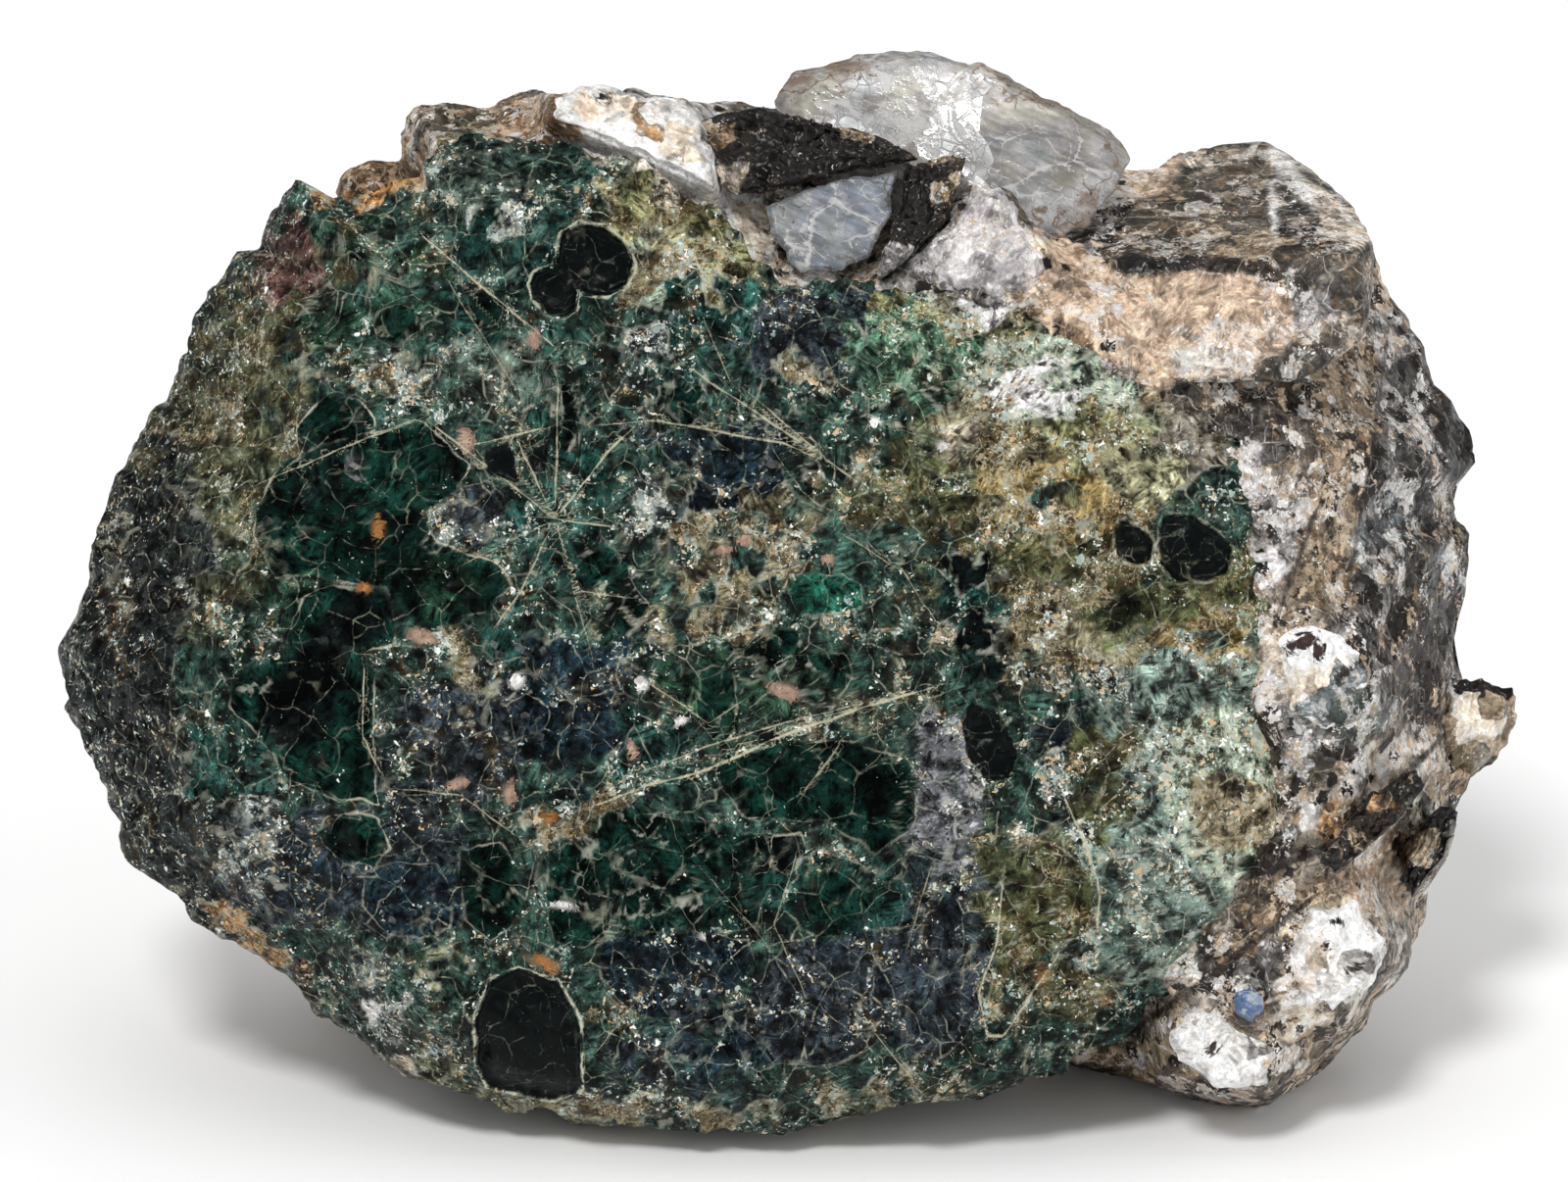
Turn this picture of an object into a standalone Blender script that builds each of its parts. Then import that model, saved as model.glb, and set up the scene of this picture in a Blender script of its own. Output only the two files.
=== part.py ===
"""Cordierite in matrix: a hand specimen that stands on its broken underside.

A blue-green cordierite mass fills the front. Grey-brown feldspar and mica rock carries it from
behind, and grains of quartz, feldspar and mica sit in pockets along the top and the right.

Every shape is drawn in the face frame, in millimetres: u to the right, v up the broken face and
w out of it, towards the eye. The last step leans the face back and stands the stone on the floor.
"""

import math

import bmesh
import bpy
import numpy as np
from mathutils import Vector, noise

MM = 0.001

# How the stone stands
FACE_LEAN = math.radians(20.0)
VIEW_DISTANCE = 600.0
FLOOR = -36.5
STAND_AT = np.array([0.77, 14.03])
CENTRE = np.array([-6.0, -3.0])
MIDDLE = np.array([0.0, -2.0, -16.0])

# The grid that both large solids share, and the play between neighbours
GRID_HALF = 12
GAP = 0.4
POCKET_PLAY = 0.32
POCKET_REACH = 7.0
CHAMFER = 0.22

# The cordierite's edge, and the whole stone's edge where the matrix shows beyond it
CORDIERITE_EDGE = [
    (-45.9, -4.1), (-44.1, 0.6), (-43.4, 5.6), (-40.3, 10.0), (-38.8, 12.5), (-37.2, 16.6),
    (-35.8, 19.1), (-34.5, 21.1), (-33.0, 21.4), (-32.4, 23.4), (-30.9, 25.9), (-28.4, 24.6),
    (-26.8, 24.8), (-23.3, 26.2), (-22.3, 28.6), (-18.4, 28.9), (-15.9, 28.9), (-12.5, 28.0),
    (-7.5, 26.2), (-4.1, 23.9), (-2.2, 21.4), (-0.3, 19.4), (3.8, 19.3), (8.8, 18.6),
    (13.1, 17.9), (16.9, 16.6), (20.6, 14.4), (24.4, 11.7), (27.5, 10.0), (29.7, 7.5),
    (30.0, 3.8), (30.8, 0.0), (30.6, -3.1), (31.0, -7.5), (33.0, -12.5), (33.0, -15.6),
    (31.2, -18.8), (28.1, -22.5), (24.6, -25.6), (21.0, -28.4), (18.1, -30.0), (12.5, -31.9),
    (3.1, -33.6), (-6.2, -34.4), (-12.5, -33.9), (-16.2, -33.1), (-23.1, -30.9), (-28.8, -27.5),
    (-31.9, -24.1), (-35.0, -22.2), (-36.9, -21.2), (-40.6, -18.1), (-42.2, -15.6),
    (-43.1, -12.5), (-44.4, -9.4), (-45.6, -6.9),
]
MATRIX_EDGE = [
    (-31.9, 26.4), (-28.4, 25.7), (-26.8, 26.0), (-23.7, 27.6), (-23.3, 29.7), (-18.4, 30.3),
    (-15.9, 31.4), (-12.5, 31.3), (-6.2, 30.6), (-0.9, 30.2), (5.0, 29.2), (12.0, 28.2),
    (19.0, 26.8), (22.2, 26.8), (26.0, 26.2), (31.0, 25.4), (35.0, 23.4), (37.5, 21.5),
    (38.1, 19.4), (40.0, 15.9), (41.4, 12.5), (43.6, 10.3), (44.2, 8.1), (43.0, 6.6),
    (42.6, 4.4), (43.8, 3.1), (43.6, 0.0), (43.1, -3.1), (43.4, -5.6), (43.4, -11.9),
    (42.6, -13.2), (41.9, -15.6), (40.0, -18.8), (38.9, -20.9), (38.8, -23.8), (36.9, -25.6),
    (35.6, -27.8), (33.1, -30.6), (29.4, -32.8), (25.0, -32.2), (21.5, -31.0), (19.0, -30.8),
]

# Profiles by direction from the centre: 0 is right, 90 the top, 180 left and 270 the bottom
BEVEL_WIDTH = {0: 4, 60: 4, 100: 4, 135: 6, 155: 11, 180: 12, 205: 9, 230: 6, 260: 4, 300: 4}
BEVEL_DROP = {0: 1.2, 60: 1.4, 100: 1.8, 135: 4, 155: 9, 180: 10, 205: 8, 230: 6, 260: 4.5, 300: 2.5}
BACK_EDGE_DEPTH = {0: -12, 60: -11, 100: -12, 135: -17, 180: -21, 225: -19, 260: -16, 300: -14}
BACK_EDGE_SHARE = {0: 0.965, 100: 0.965, 135: 0.95, 180: 0.94, 225: 0.93, 270: 0.9, 310: 0.95}
SHELF_TOP = {310: -4.0, 330: -1.8, 0: -1.6, 40: -2.2, 90: -3.0, 125: -4.0}
STONE_EDGE_DEPTH = {310: -8, 330: -10, 350: -19, 20: -21, 50: -19, 90: -15, 125: -10}
SHELF_POWER = {310: 1.6, 340: 2.0, 0: 2.6, 45: 2.4, 90: 1.3, 125: 1.2}
REAR_DEPTH = {0: -34, 50: -30, 90: -27, 130: -28, 180: -33, 225: -36, 270: -37.5, 315: -36}
REAR_SHARE = {0: 0.78, 45: 0.8, 90: 0.84, 135: 0.8, 180: 0.8, 225: 0.88, 255: 1.0, 290: 1.0, 325: 0.88}
MATRIX_FROM, MATRIX_TO, MATRIX_FADE = -50.0, 131.0, 14.0
BOWL_DEPTH = -18.0
REAR_MIDDLE = -37.0
LEAST_SHELF = 1.4

# Lumps and hollows in the rock: where, how far they reach and how far they stand out
LUMPS = [
    ((45.0, 9.0, -22.0), 4.0, 1.2), ((38.0, -20.0, -26.0), 8.0, 1.6),
    ((20.0, 12.0, -36.0), 9.0, 2.4), ((-14.0, 6.0, -36.0), 10.0, 2.8), ((-30.0, -8.0, -34.0), 7.0, 1.8),
    ((4.0, -14.0, -37.0), 8.0, -2.0), ((28.0, -6.0, -36.0), 7.0, 2.2), ((-6.0, 20.0, -32.0), 7.0, -1.8),
    ((-24.0, 18.0, -30.0), 6.0, 1.6), ((10.0, 24.0, -29.0), 6.0, 1.4), ((-36.0, 4.0, -29.0), 6.0, 1.5),
]

# Flat breaks across the rock behind: which way each looks, and how far it lies from MIDDLE
BREAKS = [
    ((0.05, -0.12, -0.99), 20.5), ((0.60, 0.08, -0.80), 29.0), ((-0.62, 0.20, -0.76), 31.0),
    ((0.10, 0.60, -0.79), 22.5), ((0.34, 0.36, -0.87), 23.0), ((-0.30, 0.42, -0.86), 23.0),
    ((0.86, 0.20, -0.47), 38.0), ((-0.84, -0.20, -0.50), 35.5), ((-0.20, -0.40, -0.89), 28.5),
]

# Dark crystals in the face stand in shallow wells with raised rims: place, radius and depth
WELLS = [
    ((-12.2, 20.9), 2.9, 0.7), ((-15.1, 18.6), 2.0, 0.6), ((-16.0, -28.0), 3.9, 0.8),
    ((24.4, 2.4), 3.6, 0.7), ((13.2, -8.6), 2.4, 0.7), ((-29.0, -6.5), 4.2, 0.6),
]
WELL_RIM = 0.35
RIDGE_LINES = [((12.9, -16.2), (13.0, -26.5), 1.2), ((20.2, -12.5), (19.4, -23.0), 0.9)]
RIDGE_WIDTH = 0.9

COLOURS = {
    "cordierite": ((0.035, 0.075, 0.070), 0.22),
    "matrix": ((0.300, 0.235, 0.175), 0.62),
    "clear_quartz": ((0.520, 0.540, 0.570), 0.12),
    "milky_quartz": ((0.560, 0.520, 0.520), 0.35),
    "smoky_quartz": ((0.200, 0.175, 0.150), 0.18),
    "feldspar": ((0.780, 0.700, 0.600), 0.50),
    "mica": ((0.045, 0.032, 0.024), 0.30),
    "blue_crystal": ((0.120, 0.200, 0.420), 0.15),
}

# The grains, those in front first: outline in the face frame, depth of the front with its slopes
# along u and v, depth of the whole grain, and how much the flat front and buried foot draw in
GRAINS = {
    "quartz_small": {
        "finish": "clear_quartz",
        "outline": [
            (-1.5, 24.4), (3.1, 25.4), (7.3, 25.8), (6.9, 24.0), (5.5, 21.0), (3.8, 20.1),
            (1.2, 20.3), (-0.6, 22.0),
        ],
        "front": -3.0, "slope": (0.0, -0.4), "thick": 3.6, "table": 0.88, "drop": 0.5, "foot": 0.8,
    },
    "mica_book_right": {
        "finish": "mica",
        "outline": [
            (8.3, 26.5), (11.4, 26.8), (10.1, 23.3), (7.1, 20.7), (6.1, 19.9), (6.5, 21.6),
            (7.9, 24.3),
        ],
        "front": -2.8, "slope": (0.0, -0.3), "thick": 3.6, "table": 0.8, "drop": 0.5, "foot": 0.85,
    },
    "quartz_milky": {
        "finish": "milky_quartz",
        "outline": [
            (12.2, 26.3), (13.7, 25.8), (15.2, 23.2), (16.5, 21.3), (15.6, 18.7), (11.2, 19.4),
            (8.8, 20.4), (10.9, 23.1),
        ],
        "front": -2.4, "slope": (-0.06, -0.28), "thick": 3.5, "table": 0.72, "drop": 0.8, "foot": 0.8,
    },
    "mica_book_left": {
        "finish": "mica",
        "outline": [
            (-5.3, 29.8), (-1.2, 30.6), (1.9, 29.8), (6.2, 28.9), (8.4, 27.6), (5.0, 26.4),
            (0.0, 25.4), (-3.0, 25.0), (-4.1, 26.2), (-4.4, 28.2),
        ],
        "front": -3.9, "slope": (-0.1, -0.1), "thick": 3.6, "table": 0.8, "drop": 0.7, "foot": 0.9,
    },
    "feldspar_top": {
        "finish": "feldspar",
        "outline": [
            (-14.6, 31.2), (-12.0, 32.0), (-8.0, 31.6), (-5.9, 30.4), (-4.9, 28.0), (-4.7, 25.7),
            (-6.2, 26.4), (-11.2, 28.6), (-14.6, 29.9),
        ],
        "front": -3.4, "slope": (-0.05, -0.55), "thick": 6.5, "table": 0.84, "drop": 0.7, "foot": 0.8,
    },
    "smoky_block": {
        "finish": "smoky_quartz",
        "corners": [
            (20.0, 21.6, -5.4), (22.0, 20.9, -3.4), (25.0, 20.4, -2.4), (30.6, 21.0, -2.2),
            (36.4, 21.7, -3.4), (37.8, 22.2, -6.0), (23.4, 26.4, -17.4), (25.0, 28.0, -20.0),
            (30.3, 28.9, -21.4), (33.1, 27.2, -19.0), (35.9, 24.9, -13.6), (21.0, 17.4, -3.2),
            (25.0, 13.2, -1.4), (33.0, 13.2, -1.6), (37.2, 16.0, -3.6), (22.6, 15.0, -13.0),
            (34.0, 14.0, -15.0), (37.0, 17.0, -13.0),
        ],
    },
    "quartz_large": {
        "finish": "clear_quartz",
        "outline": [
            (-0.6, 31.0), (0.8, 32.8), (3.1, 33.5), (6.2, 34.4), (9.4, 34.2), (12.5, 33.4),
            (15.0, 32.1), (18.1, 30.5), (20.6, 29.2), (22.1, 27.5), (21.4, 25.6), (19.4, 23.3),
            (16.6, 22.2), (7.0, 22.6), (0.6, 26.5),
        ],
        "front": -8.9, "slope": (0.04, -0.42), "thick": 11.5, "table": 0.86, "drop": 0.9, "foot": 0.72,
    },
    "feldspar_side": {
        "finish": "feldspar",
        "outline": [
            (31.7, -3.4), (33.1, -2.4), (35.8, -2.9), (37.4, -5.6), (37.0, -8.2), (34.6, -9.3),
            (32.3, -7.8),
        ],
        "front": -1.4, "slope": (-0.25, 0.0), "thick": 5.5, "table": 0.7, "drop": 0.9, "foot": 0.75,
    },
    "side_knob": {
        "finish": "feldspar",
        "outline": [
            (42.4, -5.8), (44.4, -5.9), (46.4, -6.4), (46.6, -8.6), (45.6, -11.0), (43.8, -12.1),
            (42.2, -11.6), (41.6, -8.6),
        ],
        "front": -18.5, "slope": (-0.5, 0.1), "thick": 8.0, "table": 0.7, "drop": 1.2, "foot": 0.75,
    },
    "blue_grain": {
        "finish": "blue_crystal",
        "outline": [
            (28.9, -25.9), (29.7, -25.6), (30.4, -26.1), (30.4, -26.9), (29.8, -27.4), (29.1, -27.0),
        ],
        "front": -1.9, "slope": (-0.1, 0.1), "thick": 2.6, "table": 0.6, "drop": 0.35, "foot": 0.7,
    },
    "feldspar_low_inner": {
        "finish": "feldspar",
        "outline": [
            (26.2, -26.8), (27.6, -26.6), (29.2, -28.6), (31.4, -29.4), (30.6, -31.4),
            (27.4, -31.8), (25.0, -30.2), (24.8, -28.4),
        ],
        "front": -3.0, "slope": (-0.1, 0.25), "thick": 5.5, "table": 0.75, "drop": 0.8, "foot": 0.8,
    },
    "feldspar_low_outer": {
        "finish": "feldspar",
        "outline": [
            (33.6, -20.3), (36.3, -20.0), (38.2, -22.5), (37.6, -25.0), (35.0, -26.9),
            (32.6, -25.8), (32.2, -23.0),
        ],
        "front": -3.6, "slope": (-0.45, 0.1), "thick": 5.5, "table": 0.75, "drop": 0.8, "foot": 0.8,
    },
    "mica_plate": {
        "finish": "mica",
        "outline": [
            (33.9, -17.6), (37.3, -13.2), (40.2, -11.6), (40.7, -12.7), (38.3, -15.8), (35.0, -18.3),
        ],
        "front": -2.4, "slope": (-0.4, 0.0), "thick": 6.0, "table": 0.8, "drop": 0.4, "foot": 0.9,
    },
    "mica_edge": {
        "finish": "mica",
        "outline": [
            (42.9, -14.4), (42.2, -17.2), (40.0, -19.9), (39.2, -18.6), (40.4, -15.8), (41.8, -14.0),
        ],
        "front": -8.2, "slope": (-0.5, 0.0), "thick": 7.0, "table": 0.8, "drop": 0.5, "foot": 0.85,
    },
}


def by_direction(profile, angle):
    """The profile's value in each direction, joined by straight lines between the stated ones."""
    stated = np.radians(list(profile))
    return np.interp(angle, stated, list(profile.values()), period=2 * math.pi)


def reach(edge, angle):
    """How far the closed edge lies from CENTRE in each direction."""
    along = np.array(edge) - CENTRE
    directions = np.arctan2(along[:, 1], along[:, 0])
    order = np.argsort(directions)
    lengths = np.hypot(along[:, 0], along[:, 1])
    return np.interp(angle, directions[order], lengths[order], period=2 * math.pi)


def smooth_step(low, high, value):
    """Returns 0 below low, 1 above high, and a smooth climb between them."""
    t = np.clip((value - low) / (high - low), 0.0, 1.0)
    return t * t * (3.0 - 2.0 * t)


def matrix_share(angle):
    """Where the matrix shows in front beyond the cordierite, as two shares from 0 to 1.

    The first is how far its shelf reaches out and the second how high it stands. It sinks below
    the cordierite's back before it draws in, so that the two never meet.
    """
    turned = (np.degrees(angle) - MATRIX_FROM) % 360.0
    width = MATRIX_TO - MATRIX_FROM
    share = np.clip(np.minimum(turned, width - turned) / MATRIX_FADE, 0.0, 1.0)
    return smooth_step(0.0, 0.36, share), smooth_step(0.64, 1.0, share)


def square_on_disc():
    """A square grid wrapped on a disc: each point's share of the radius and its direction."""
    steps = np.arange(-GRID_HALF, GRID_HALF + 1) / GRID_HALF
    a, b = (x.ravel() for x in np.meshgrid(steps, steps))
    share = np.maximum(abs(a), abs(b))
    wide = abs(a) >= abs(b)
    across = np.divide(b, a, out=np.zeros_like(a), where=wide & (a != 0.0))
    upright = np.divide(a, b, out=np.zeros_like(a), where=~wide)
    angle = np.where(
        wide,
        np.pi / 4 * across + np.pi * (a < 0.0),
        np.pi / 2 - np.pi / 4 * upright + np.pi * (b < 0.0),
    )
    return share, angle


def edge_order():
    """The grid's outermost points, counterclockwise from its lower left corner."""
    n = 2 * GRID_HALF + 1
    index = np.arange(n * n).reshape(n, n)
    return np.concatenate([index[0, :-1], index[:-1, -1], index[-1, :0:-1], index[:0:-1, 0]])


def place(distance, angle, height):
    """Points at a distance and direction from CENTRE, and at a height over the face."""
    u = CENTRE[0] + distance * np.cos(angle)
    v = CENTRE[1] + distance * np.sin(angle)
    return np.stack([u, v, height + 0.0 * u], axis=-1)


def dome(u, v):
    """The face is a very shallow dome."""
    return -0.0011 * (u + 2.0) ** 2 - 0.0012 * (v - 1.0) ** 2


def face_detail(u, v):
    """Wells of the dark crystals with their rims, and the low ridges of the lower right."""
    height = np.zeros_like(u)
    for (wu, wv), radius, depth in WELLS:
        away = np.hypot(u - wu, v - wv) / radius
        height -= depth * (1.0 - smooth_step(0.75, 1.0, away))
        height += WELL_RIM * np.exp(-((away - 1.15) / 0.22) ** 2)
    for start, end, tall in RIDGE_LINES:
        run = np.array(end) - np.array(start)
        along = np.clip(((u - start[0]) * run[0] + (v - start[1]) * run[1]) / (run @ run), 0.0, 1.0)
        away = np.hypot(u - start[0] - along * run[0], v - start[1] - along * run[1])
        height += tall * np.exp(-((away / RIDGE_WIDTH) ** 2))
    return height


def rough(points, size, seed):
    """Fractured relief between about -1 and 1: flat chips with edges, over soft swells."""
    shift = Vector((seed, 1.7 * seed, -seed))
    values = []
    for point in points.reshape(-1, 3):
        at = Vector(point) / size + shift
        nearest = noise.voronoi(at)[0]
        swell = noise.fractal(at * 0.7, 1.0, 2.0, 3)
        values.append(0.9 * (nearest[1] - nearest[0]) - 0.45 + 0.8 * swell)
    return np.array(values).reshape(points.shape[:-1])


def face_points(share, angle):
    """The cordierite's front: the dome, its bevelled edge, the wells, the ridges and the chips."""
    distance = reach(CORDIERITE_EDGE, angle)
    points = place(share * distance, angle, 0.0)
    u, v = points[:, 0], points[:, 1]
    inside = (1.0 - share) * distance
    width = by_direction(BEVEL_WIDTH, angle)
    turn = np.clip(1.0 - inside / width, 0.0, 1.0)
    calm = 1.0 - 0.7 * turn
    chips = (0.35 * rough(points, 7.0, 3.0) + 0.25 * rough(points, 3.0, 9.0)) * calm
    points[:, 2] = dome(u, v) - by_direction(BEVEL_DROP, angle) * turn**1.6 + face_detail(u, v) + chips
    return points


def back_of_cordierite(share, angle, behind):
    """The buried back of the cordierite, a shallow bowl. behind moves it further in."""
    distance = share * reach(CORDIERITE_EDGE, angle) * by_direction(BACK_EDGE_SHARE, angle)
    edge = by_direction(BACK_EDGE_DEPTH, angle)
    depth = edge * share**2 + BOWL_DEPTH * (1.0 - share**2)
    return place(distance, angle, depth - behind)


def add_lumps(points):
    """Pushes the rock out from its middle at each lump, and in at each hollow."""
    outward = points - MIDDLE
    outward /= np.linalg.norm(outward, axis=-1, keepdims=True)
    for where, size, tall in LUMPS:
        away = np.linalg.norm(points - np.array(where), axis=-1, keepdims=True) / size
        points = points + outward * tall * np.exp(-(away**2))
    return points


def roughen(points, amount, size, seed):
    """Moves rock points out from the stone's middle, or in, by the fractured relief."""
    outward = points - MIDDLE
    outward /= np.linalg.norm(outward, axis=-1, keepdims=True)
    return points + outward * (amount * rough(points, size, seed))[..., None]


def break_flat(points):
    """Brings points that lie beyond a flat break back onto it."""
    for way, distance in BREAKS:
        way = np.array(way) / np.linalg.norm(way)
        beyond = np.maximum((points - MIDDLE) @ way - distance, 0.0)
        points = points - beyond[..., None] * way
    return points


def stand_up(points):
    """Face frame to row frame, in metres: spread what lies deeper, lean back, stand on the floor.

    The edges were read from one viewpoint, VIEW_DISTANCE in front of the face, so a point that
    lies deeper is that much further from the axis than it looks.
    """
    points = np.array(points, float)
    spread = 1.0 - points[..., 2:3] / VIEW_DISTANCE
    u, v = (points[..., :2] * spread).reshape(-1, 2).T
    w = points[..., 2].ravel()
    sine, cosine = math.sin(FACE_LEAN), math.cos(FACE_LEAN)
    x, y, z = u, v * sine - w * cosine, np.maximum(v * cosine + w * sine, FLOOR)
    return np.stack([x - STAND_AT[0], y - STAND_AT[1], z - FLOOR], axis=-1) * MM


def material(name):
    """One Principled material for each mineral."""
    made = bpy.data.materials.get(name) or bpy.data.materials.new(name)
    made.use_nodes = True
    colour, roughness = COLOURS[name]
    shader = made.node_tree.nodes["Principled BSDF"]
    shader.inputs["Base Color"].default_value = (*colour, 1.0)
    shader.inputs["Roughness"].default_value = roughness
    shader.inputs["Metallic"].default_value = 0.0
    made.diffuse_color = (*colour, 1.0)
    return made


def link(name, mesh, finish):
    """Puts a mesh in the scene under the piece's name, with its mineral."""
    piece = bpy.data.objects.new(name, mesh)
    bpy.context.scene.collection.objects.link(piece)
    if finish:
        mesh.materials.append(material(finish))
    return piece


def shell(name, finish, front, rings, back):
    """A closed solid: a front sheet on the grid, rings of points behind its edge, a back sheet."""
    n = 2 * GRID_HALF + 1
    edge = edge_order()
    loop = len(edge)
    first_ring, first_back = n * n, n * n + len(rings) * loop
    loops = [edge] + [first_ring + k * loop + np.arange(loop) for k in range(len(rings))]
    loops.append(first_back + edge)
    row, column = (x.ravel() for x in np.mgrid[0 : n - 1, 0 : n - 1])
    corner = row * n + column
    sheet = np.stack([corner, corner + 1, corner + n + 1, corner + n], axis=1)
    bands = [
        np.stack([near, far, np.roll(far, -1), np.roll(near, -1)], axis=1)
        for near, far in zip(loops[:-1], loops[1:])
    ]
    faces = np.concatenate([sheet, *bands, first_back + sheet[:, ::-1]])
    points = np.concatenate([front, *rings, back])
    mesh = bpy.data.meshes.new(name)
    mesh.from_pydata(stand_up(points).tolist(), [], faces.tolist())
    mesh.validate()
    return link(name, mesh, finish)


def make_cordierite():
    """The blue-green mass: its face, its broken sides and its buried back."""
    share, angle = square_on_disc()
    around = angle[edge_order()]
    front = face_points(share, angle)
    back = back_of_cordierite(share, angle, 0.0)
    start, end = front[edge_order()], back[edge_order()]
    bare = 1.0 - matrix_share(around)[0]
    outward = np.stack([np.cos(around), np.sin(around), 0.0 * around], axis=-1)
    rings = []
    for t in (0.2, 0.5, 0.8):
        ring = start + (end - start) * t
        swell = bare * (0.9 * math.sin(math.pi * t) + 0.5 * rough(ring, 4.0, 5.0))
        rings.append(ring + outward * np.minimum(swell, 1.2)[:, None])
    return shell("cordierite", "cordierite", front, rings, back)


def make_matrix():
    """The rock behind and beside the cordierite: pocket, pocket wall, shelf, sides and back."""
    share, angle = square_on_disc()
    around = angle[edge_order()]
    out_share, up_share = matrix_share(around)
    cord_reach = reach(CORDIERITE_EDGE, around)
    stone_reach = np.maximum(reach(MATRIX_EDGE, around), cord_reach + LEAST_SHELF)
    back_share = by_direction(BACK_EDGE_SHARE, around)
    back_depth = by_direction(BACK_EDGE_DEPTH, around) - GAP
    floor_sheet = back_of_cordierite(share * 0.985, angle, GAP)

    wall_reach = cord_reach + GAP
    shelf_top = by_direction(SHELF_TOP, around)
    edge_depth = by_direction(STONE_EDGE_DEPTH, around)
    power = by_direction(SHELF_POWER, around)
    rings = []

    def ring(with_shelf, without_shelf):
        (reach_1, depth_1), (reach_0, depth_0) = with_shelf, without_shelf
        distance = reach_0 + (reach_1 - reach_0) * out_share
        depth = depth_0 + (depth_1 - depth_0) * up_share
        return place(distance, around, depth)

    hidden = back_share * cord_reach
    rings.append(ring((wall_reach, back_depth), (hidden - 0.45, back_depth)))
    rings.append(ring((wall_reach, 0.5 * (back_depth + shelf_top)), (hidden - 0.30, back_depth - 0.05)))
    rings.append(ring((wall_reach + 0.05, shelf_top), (hidden - 0.15, back_depth - 0.1)))
    for k, t in enumerate((0.3, 0.6, 0.85, 1.0)):
        out = wall_reach + (stone_reach - wall_reach) * t
        depth = shelf_top + (edge_depth - shelf_top) * t**power
        made = ring((out, depth), (hidden + 0.2 * t, back_depth - 0.2 - 0.6 * t))
        relief = (0.55 if k else 0.25) * rough(made, 4.5, 7.0) * up_share
        made[:, 2] += np.minimum(relief, 0.6)
        rings.append(made)
    outermost = ring((stone_reach, edge_depth), (hidden + 0.2, back_depth - 0.8))
    outer_reach = np.hypot(outermost[:, 0] - CENTRE[0], outermost[:, 1] - CENTRE[1])
    rear_depth = by_direction(REAR_DEPTH, around)
    rear_share = by_direction(REAR_SHARE, around)
    for t in (0.3, 0.62, 0.88):
        distance = outer_reach * (1.0 + (rear_share - 1.0) * t**2 + 0.03 * math.sin(math.pi * t))
        made = place(distance, around, outermost[:, 2] + (rear_depth - outermost[:, 2]) * t)
        rings.append(roughen(break_flat(add_lumps(made)), 0.9, 6.5, 11.0))

    rear_edge = np.interp(angle, around, outer_reach * rear_share, period=2 * math.pi)
    rear_rim = by_direction(REAR_DEPTH, angle)
    depth = rear_rim * share**2 + REAR_MIDDLE * (1.0 - share**2)
    rear_sheet = break_flat(add_lumps(place(share * rear_edge, angle, depth)))
    rear_sheet = roughen(rear_sheet, 0.9, 7.5, 13.0)
    return shell("matrix", "matrix", floor_sheet, rings, rear_sheet)


def grain_corners(grain):
    """A grain's corners: its flat front, its outline a little behind it, and its buried foot."""
    if "corners" in grain:
        return np.array(grain["corners"])
    outline = np.array(grain["outline"])
    middle = outline.mean(axis=0)
    slope = np.array(grain["slope"])

    def loop(share, behind):
        flat = middle + (outline - middle) * share
        depth = grain["front"] + (flat - middle) @ slope - behind
        return np.column_stack([flat, depth])

    front, waist = loop(grain["table"], 0.0), loop(1.0, grain["drop"])
    return np.concatenate([front, waist, loop(grain["foot"], grain["thick"])])


def convex_mesh(name, corners):
    """The flat-faced solid around the corners."""
    form = bmesh.new()
    for corner in stand_up(corners):
        form.verts.new(corner)
    hull = bmesh.ops.convex_hull(form, input=form.verts)
    spare = {x for x in hull["geom_interior"] + hull["geom_unused"] if isinstance(x, bmesh.types.BMVert)}
    bmesh.ops.delete(form, geom=list(spare), context="VERTS")
    bmesh.ops.dissolve_limit(form, angle_limit=math.radians(1.0), verts=form.verts, edges=form.edges)
    bmesh.ops.recalc_face_normals(form, faces=form.faces)
    mesh = bpy.data.meshes.new(name)
    form.to_mesh(mesh)
    form.free()
    return mesh


def make_grain(name, grain):
    """One grain with its sharp edges worn to narrow chamfers."""
    piece = link(name, convex_mesh(name, grain_corners(grain)), grain["finish"])
    chamfer = piece.modifiers.new("worn_edges", "BEVEL")
    chamfer.width = CHAMFER * MM
    chamfer.segments = 1
    chamfer.limit_method = "ANGLE"
    chamfer.angle_limit = math.radians(25.0)
    return piece


def make_pocket(name, grain):
    """The cutter of a grain's pocket: the grain with play all round, and all that is in front."""
    corners = grain_corners(grain)
    signs = np.array([(a, b, c) for a in (-1, 1) for b in (-1, 1) for c in (-1, 1)])
    grown = (corners[:, None, :] + POCKET_PLAY * signs[None]).reshape(-1, 3)
    forward = grown + np.array([0.0, 0.0, POCKET_REACH])
    mesh = convex_mesh(name + "_pocket", np.concatenate([grown, forward]))
    cutter = link(name + "_pocket", mesh, None)
    cutter.hide_render = True
    cutter.display_type = "WIRE"
    return cutter


def boxes_meet(piece, cutter):
    """Whether the two meshes' boxes overlap."""
    (low, high), (cut_low, cut_high) = (
        (corners.min(axis=0), corners.max(axis=0))
        for corners in (np.array([v.co for v in item.data.vertices]) for item in (piece, cutter))
    )
    return bool(np.all(low < cut_high) and np.all(cut_low < high))


def cut(piece, cutter):
    """Takes the cutter out of the piece."""
    made = piece.modifiers.new(cutter.name, "BOOLEAN")
    made.operation = "DIFFERENCE"
    made.solver = "EXACT"
    made.object = cutter


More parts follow.
